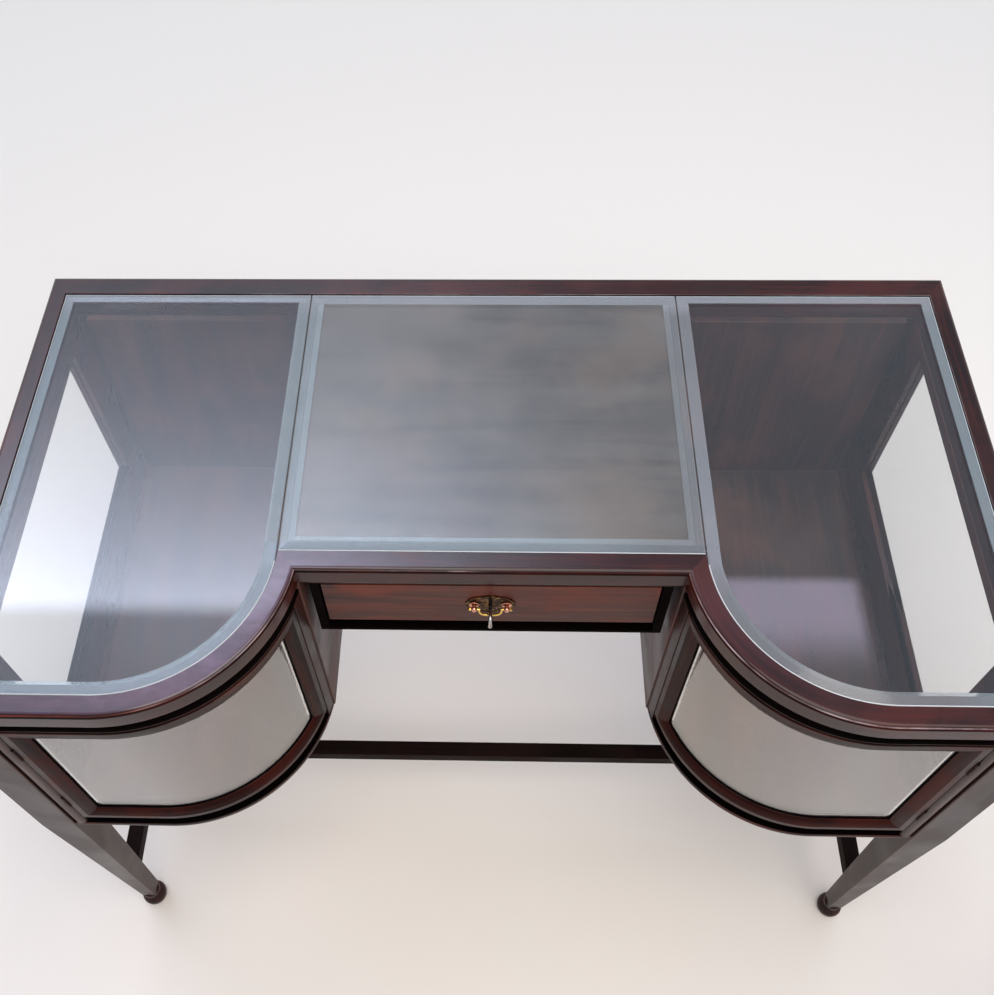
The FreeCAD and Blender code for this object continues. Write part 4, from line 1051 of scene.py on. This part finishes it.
# Drawer
for board in (
    ("drawer_front", "drawerFront", "drawer_wood", "drawerFront", 0.7, "drawer"),
    ("drawer_sides", "drawerSides", "inner_wood", "plainInside", 0.6, "drawer"),
    ("drawer_back", "drawerBack", "inner_wood", "plainInside", 0.6, "drawer"),
    ("drawer_bottom", "drawerBottom", "inner_wood", "plainInside", 0.4, "drawer"),
    ("drawer_lock", "drawerLockCase", "steel", "wornSteel", 0.3, "drawer"),
    ("lock_bolt", "lockBolt", "steel", "wornSteel", 0.3, "bolt"),
):
    fromCad(*board)
print("drawer filled")

# Handle: shaped plate with a raised rim, two turned studs and a small bail; the key stands in the lock
handle = {
    "face": -116.0, "plate": -117.5, "middle": 700.3, "platePoints": 144,
    "discs": ((0.0, 18.5), (10.5, 15.5), (-10.5, 15.5), (17.5, 9.5), (-17.5, 9.5)),
    "edge": 0.3, "rim": 1.3, "rimWidth": 0.5, "rimStep": 0.45, "studX": 17.5, "studZ": 700.0,
    # (distance from the plate, radius) of a stud: rose, neck, ball and tip
    "stud": [(0.0, 5.2), (0.5, 5.5), (0.9, 5.0), (1.2, 3.2), (1.7, 2.3), (2.6, 2.2), (3.2, 2.8), (4.0, 3.4),
             (5.2, 3.6), (6.4, 3.5), (7.4, 3.0), (8.2, 2.2), (8.7, 1.3), (9.0, 0.4)],
    "bailY": -122.9, "bailInner": 12.1, "bailDrop": 13.0, "bailWire": 1.5, "bailPoints": 33,
    # the bail's straight end from its tip, and the knob on it
    "bailEnds": [-24.0, -23.5, -22.6, -21.6, -20.0, -14.0], "bailKnob": [0.5, 1.5, 2.1, 1.9],
}
key = {
    "z": 710.0, "start": -132.7, "end": -101.2, "wire": 2.2, "bowRadius": 7.2, "bowTurn": (6, 354, 61),
    # (distance from the shaft's start, radius), and the same from its end
    "shaft": [(0, 1.6), (0.6, 2.0), (1.4, 2.0), (2.4, 2.7), (3.0, 2.7), (3.6, 2.0)],
    "shaftEnd": [(-0.4, 2.0), (0, 1.6)], "bitHalf": 1.2, "bitStart": -107.2, "bitLow": 701.3,
}


def tube(name, node, path, radii, square, body, slotName, finish, count=18):
    # a round section carried along a flat path: centre + r (across cos a + square sin a)
    path, radii, square = (np.asarray(v, float) for v in (path, radii, square))
    ahead = np.gradient(path, axis=0)
    ahead /= np.linalg.norm(ahead, axis=1, keepdims=True)
    across = np.cross(ahead, square)
    turn = np.linspace(0, 2 * np.pi, count, endpoint=False)[None, :, None]
    rings = path[:, None] + radii[:, None, None] * (np.cos(turn) * across[:, None] + np.sin(turn) * square)
    hardware(name, node, rings * mm, body, slotName, finish)


def hardware(name, node, rings, body, slotName, finish, smooth=40):
    ringPiece("", name, node, (rings, rings + grainShift()), [finish], slotName=slotName, body=body,
              smooth=smooth)


def makeHandle():
    # plate: the farthest point of any disc in each direction, c cos a + sqrt(r^2 - c^2 sin^2 a);
    # bail: |x / inner|^3 + |z / drop|^3 = 1 between its straight ends
    h = handle
    turn = np.linspace(0, 2 * np.pi, h["platePoints"], endpoint=False)
    centre, radius = np.array(h["discs"]).T[:, None]
    run = centre * np.cos(turn)[:, None]
    left = radius ** 2 - (centre ** 2 - run ** 2)
    reach = np.where(left > 0, run + np.sqrt(np.maximum(left, 0)), 0).max(axis=1)
    plate, edge, rim = h["plate"], h["edge"], h["rim"]
    steps = [(0, h["face"]), (0, plate + edge), (edge, plate), (rim, plate),
             (rim + h["rimWidth"], plate + h["rimStep"])]
    rings = [line((reach - s) * np.cos(turn), y, h["middle"] + (reach - s) * np.sin(turn)) for s, y in steps]
    hardware("handlePlate", "handle_plate", np.stack(rings) * mm, "drawer", "brass", "agedBrass", 25)
    out, radii = np.array(h["stud"]).T
    for side, sign in sides.items():
        tube(side + "HandleStud", "handle_plate", line(sign * h["studX"], plate - out, h["studZ"]), radii,
             (1, 0, 0), "drawer", "brass", "copperStud")
    turn = np.linspace(0, np.pi, h["bailPoints"])
    x = -h["bailInner"] * np.sign(np.cos(turn)) * np.abs(np.cos(turn)) ** (2 / 3)
    z = -h["bailDrop"] * np.sin(turn) ** (2 / 3)
    ends, knob = np.array(h["bailEnds"]), h["bailKnob"]
    x, z = np.concatenate([ends, x, -ends[::-1]]), np.concatenate([0 * ends, z, 0 * ends])
    wire = np.full(len(x), h["bailWire"])
    wire[:len(knob)], wire[-len(knob):] = knob, knob[::-1]
    tube("drawerBail", "drawer_bail", line(x, h["bailY"], h["studZ"] + z), wire, (0, 1, 0), "bail", "brass",
         "brightBrass")


def makeKey():
    # shaft with a collar, a ring for a bow, centre + radius (cos a, sin a), and the bit inside the lock
    k = key
    rows = [np.array(k[part]) + (k[end], 0) for part, end in (("shaft", "start"), ("shaftEnd", "end"))]
    y, radii = np.vstack(rows).T
    tube("keyShaft", "key", line(0, y, k["z"]), radii, (1, 0, 0), "key", "steel", "darkSteel")
    turn, radius = np.radians(np.linspace(*k["bowTurn"])), k["bowRadius"]
    ring = line(0, k["start"] - radius + radius * np.cos(turn), k["z"] + radius * np.sin(turn))
    tube("keyBow", "key", ring, np.full(len(turn), k["wire"]), (1, 0, 0), "key", "steel", "wornSteel")
    half, low, high = k["bitHalf"], k["bitLow"], k["z"]
    corners = [(-half, low), (half, low), (half, high), (-half, high)]
    rings = np.array([[(x, y, z) for x, z in corners] for y in (k["bitStart"], k["end"])]) * mm
    hardware("keyBit", "key", rings, "key", "steel", "darkSteel", 30)


makeHandle()
makeKey()
print("handle and key fitted")
